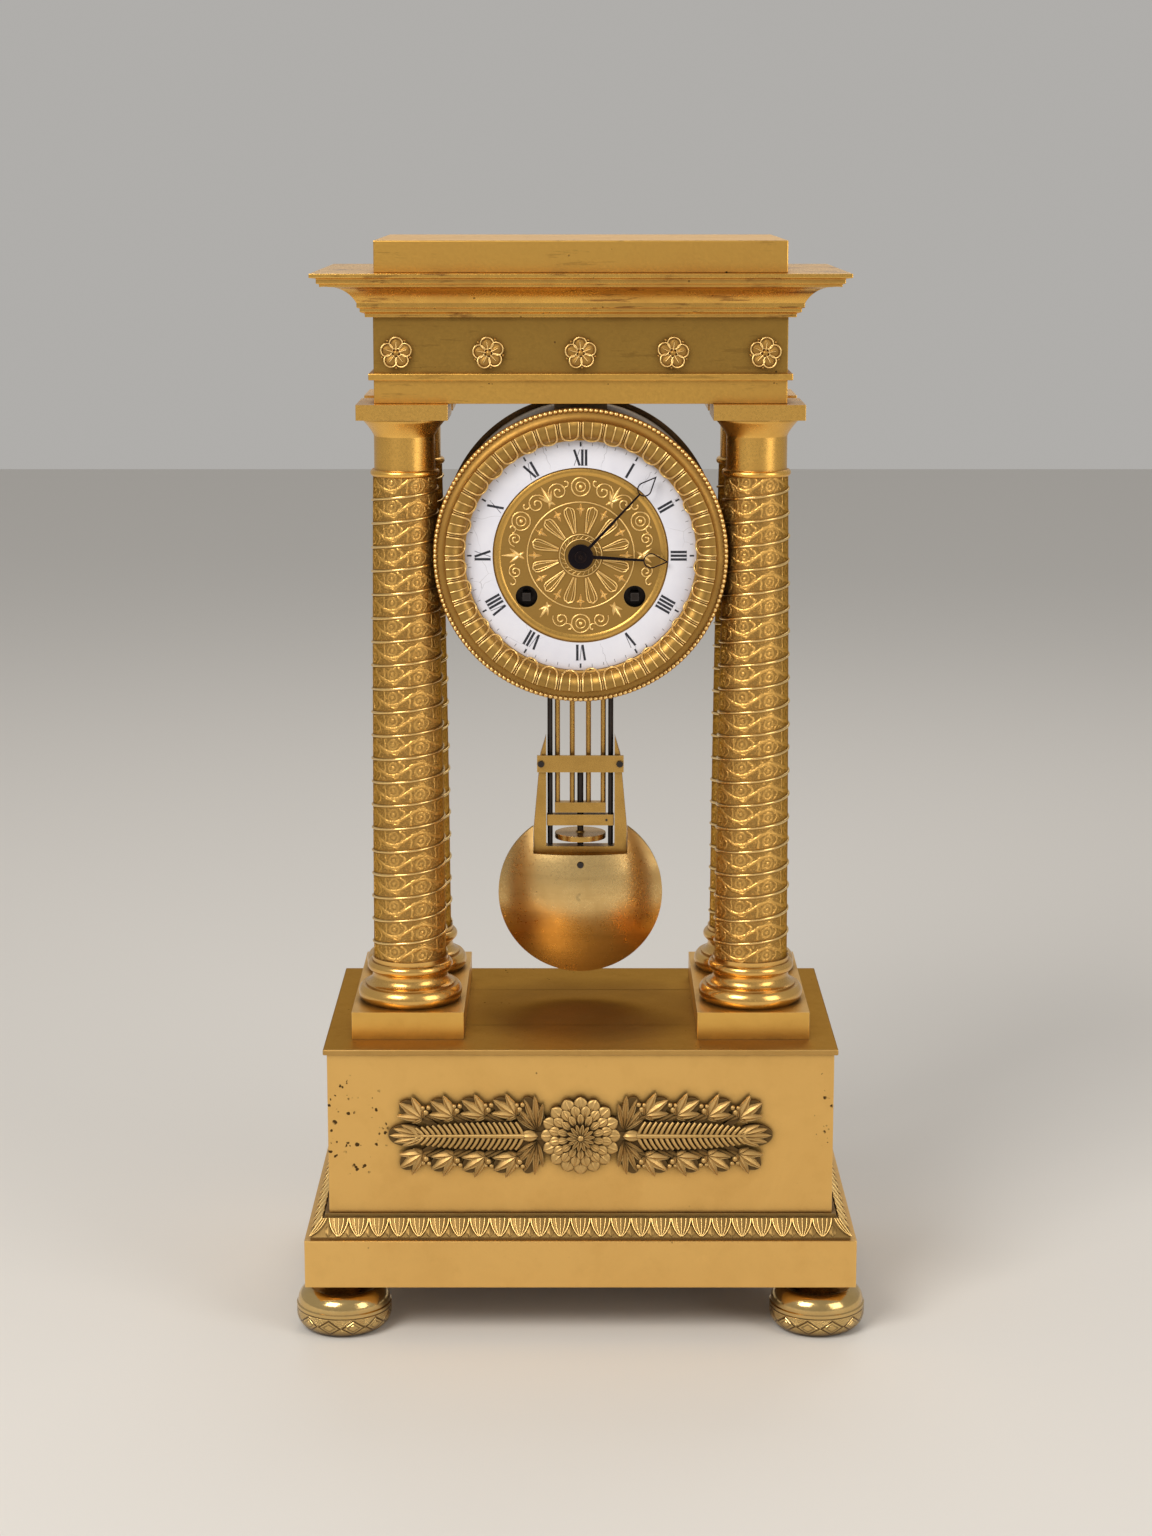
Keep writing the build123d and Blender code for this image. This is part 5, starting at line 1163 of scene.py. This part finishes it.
def engraved(tree):
    """Height of the band cut round the lower half of each foot."""
    angle, height = wrapped(tree, foot_x, foot_y)
    away = times(apart(calc("FRACT", times(angle, 12.0)), 0.5), 2.0)
    level = calc("DIVIDE", apart(height, band_z), band_half)
    diamond = plus(away, level)
    pattern = ramp(apart(diamond, 0.92), 0.06, 0.18, 1.0, 0.0)
    inner = ramp(apart(diamond, 0.5), 0.03, 0.12, 0.8, 0.0)
    veins = calc("ABSOLUTE", calc("SINE", times(diamond, 14.0)))
    veins = ramp(veins, 0.0, 0.5, 0.6, 0.0)
    veins = times(veins, ramp(diamond, 0.95, 1.05))
    pattern = calc("MAXIMUM", calc("MAXIMUM", pattern, inner), veins)
    pattern = times(pattern, ramp(level, 0.98, 1.04, 1.0, 0.0))
    for line in (1.5, 10.4):
        ring = ramp(apart(height, line), 0.12, 0.35, 1.0, 0.0)
        pattern = calc("MAXIMUM", pattern, ring)
    return minus(1.0, pattern), 1.0, 0.95


engraved_gilt = metal(
    "engraved_gilt", (0.68, 0.475, 0.195), (0.52, 0.345, 0.13), grime_and_shade=(0.11, 0.055, 0.018),
    rough=0.15, clouding=0.7, bump=0.8, relief=engraved,
)
dress("feet", engraved_gilt)


# Studio: a plain pale floor and surround, a soft lamp above the dial and a gentler one each
# side, and the camera a little above the dial, looking slightly down.
def soft_lamp(name, place, aim, size, power, colour):
    """A square soft lamp that faces a point."""
    lamp = bpy.data.lights.new(name, "AREA")
    lamp.shape = "RECTANGLE"
    lamp.size, lamp.size_y = size
    lamp.energy = power
    lamp.color = colour
    made = bpy.data.objects.new(name, lamp)
    made.location = place
    made.rotation_euler = (Vector(aim) - Vector(place)).to_track_quat("-Z", "Y").to_euler()
    bpy.context.scene.collection.objects.link(made)


soft_lamp("key", (-0.9, -1.3, 1.5), (0, 0, 0.3), (0.9, 0.9), 27.0, (1.0, 0.96, 0.9))
soft_lamp("fill", (1.3, -1.1, 0.9), (0, 0, 0.25), (0.8, 1.2), 10.0, (1.0, 0.95, 0.88))
soft_lamp("back", (0.2, 1.3, 1.5), (0, 0, 0.3), (1.2, 0.6), 5.0, (1.0, 0.95, 0.9))

world = bpy.data.worlds.new("studio")
bpy.context.scene.world = world
world.use_nodes = True
background = world.node_tree.nodes["Background"]
background.inputs["Color"].default_value = (0.80, 0.78, 0.75, 1.0)
background.inputs["Strength"].default_value = 0.54

bm = bmesh.new()
bmesh.ops.create_grid(bm, x_segments=1, y_segments=1, size=4.0)
floor_mesh = bpy.data.meshes.new("floor")
bm.to_mesh(floor_mesh)
bm.free()
floor = bpy.data.objects.new("floor", floor_mesh)
bpy.context.scene.collection.objects.link(floor)
pale, tree, shader = new_material("pale_floor")
shader.inputs["Base Color"].default_value = (0.72, 0.70, 0.67, 1.0)
shader.inputs["Roughness"].default_value = 0.7
floor_mesh.materials.append(pale)

camera = bpy.data.cameras.new("camera")
camera.lens = 70.19
camera.sensor_width = 36.0
camera_object = bpy.data.objects.new("camera", camera)
camera_object.location = (-0.0021, -1.3912, 0.5335)
camera_object.rotation_euler = (math.radians(78.65), 0, 0)
bpy.context.scene.collection.objects.link(camera_object)
bpy.context.scene.camera = camera_object
bpy.context.scene.view_settings.view_transform = "Standard"
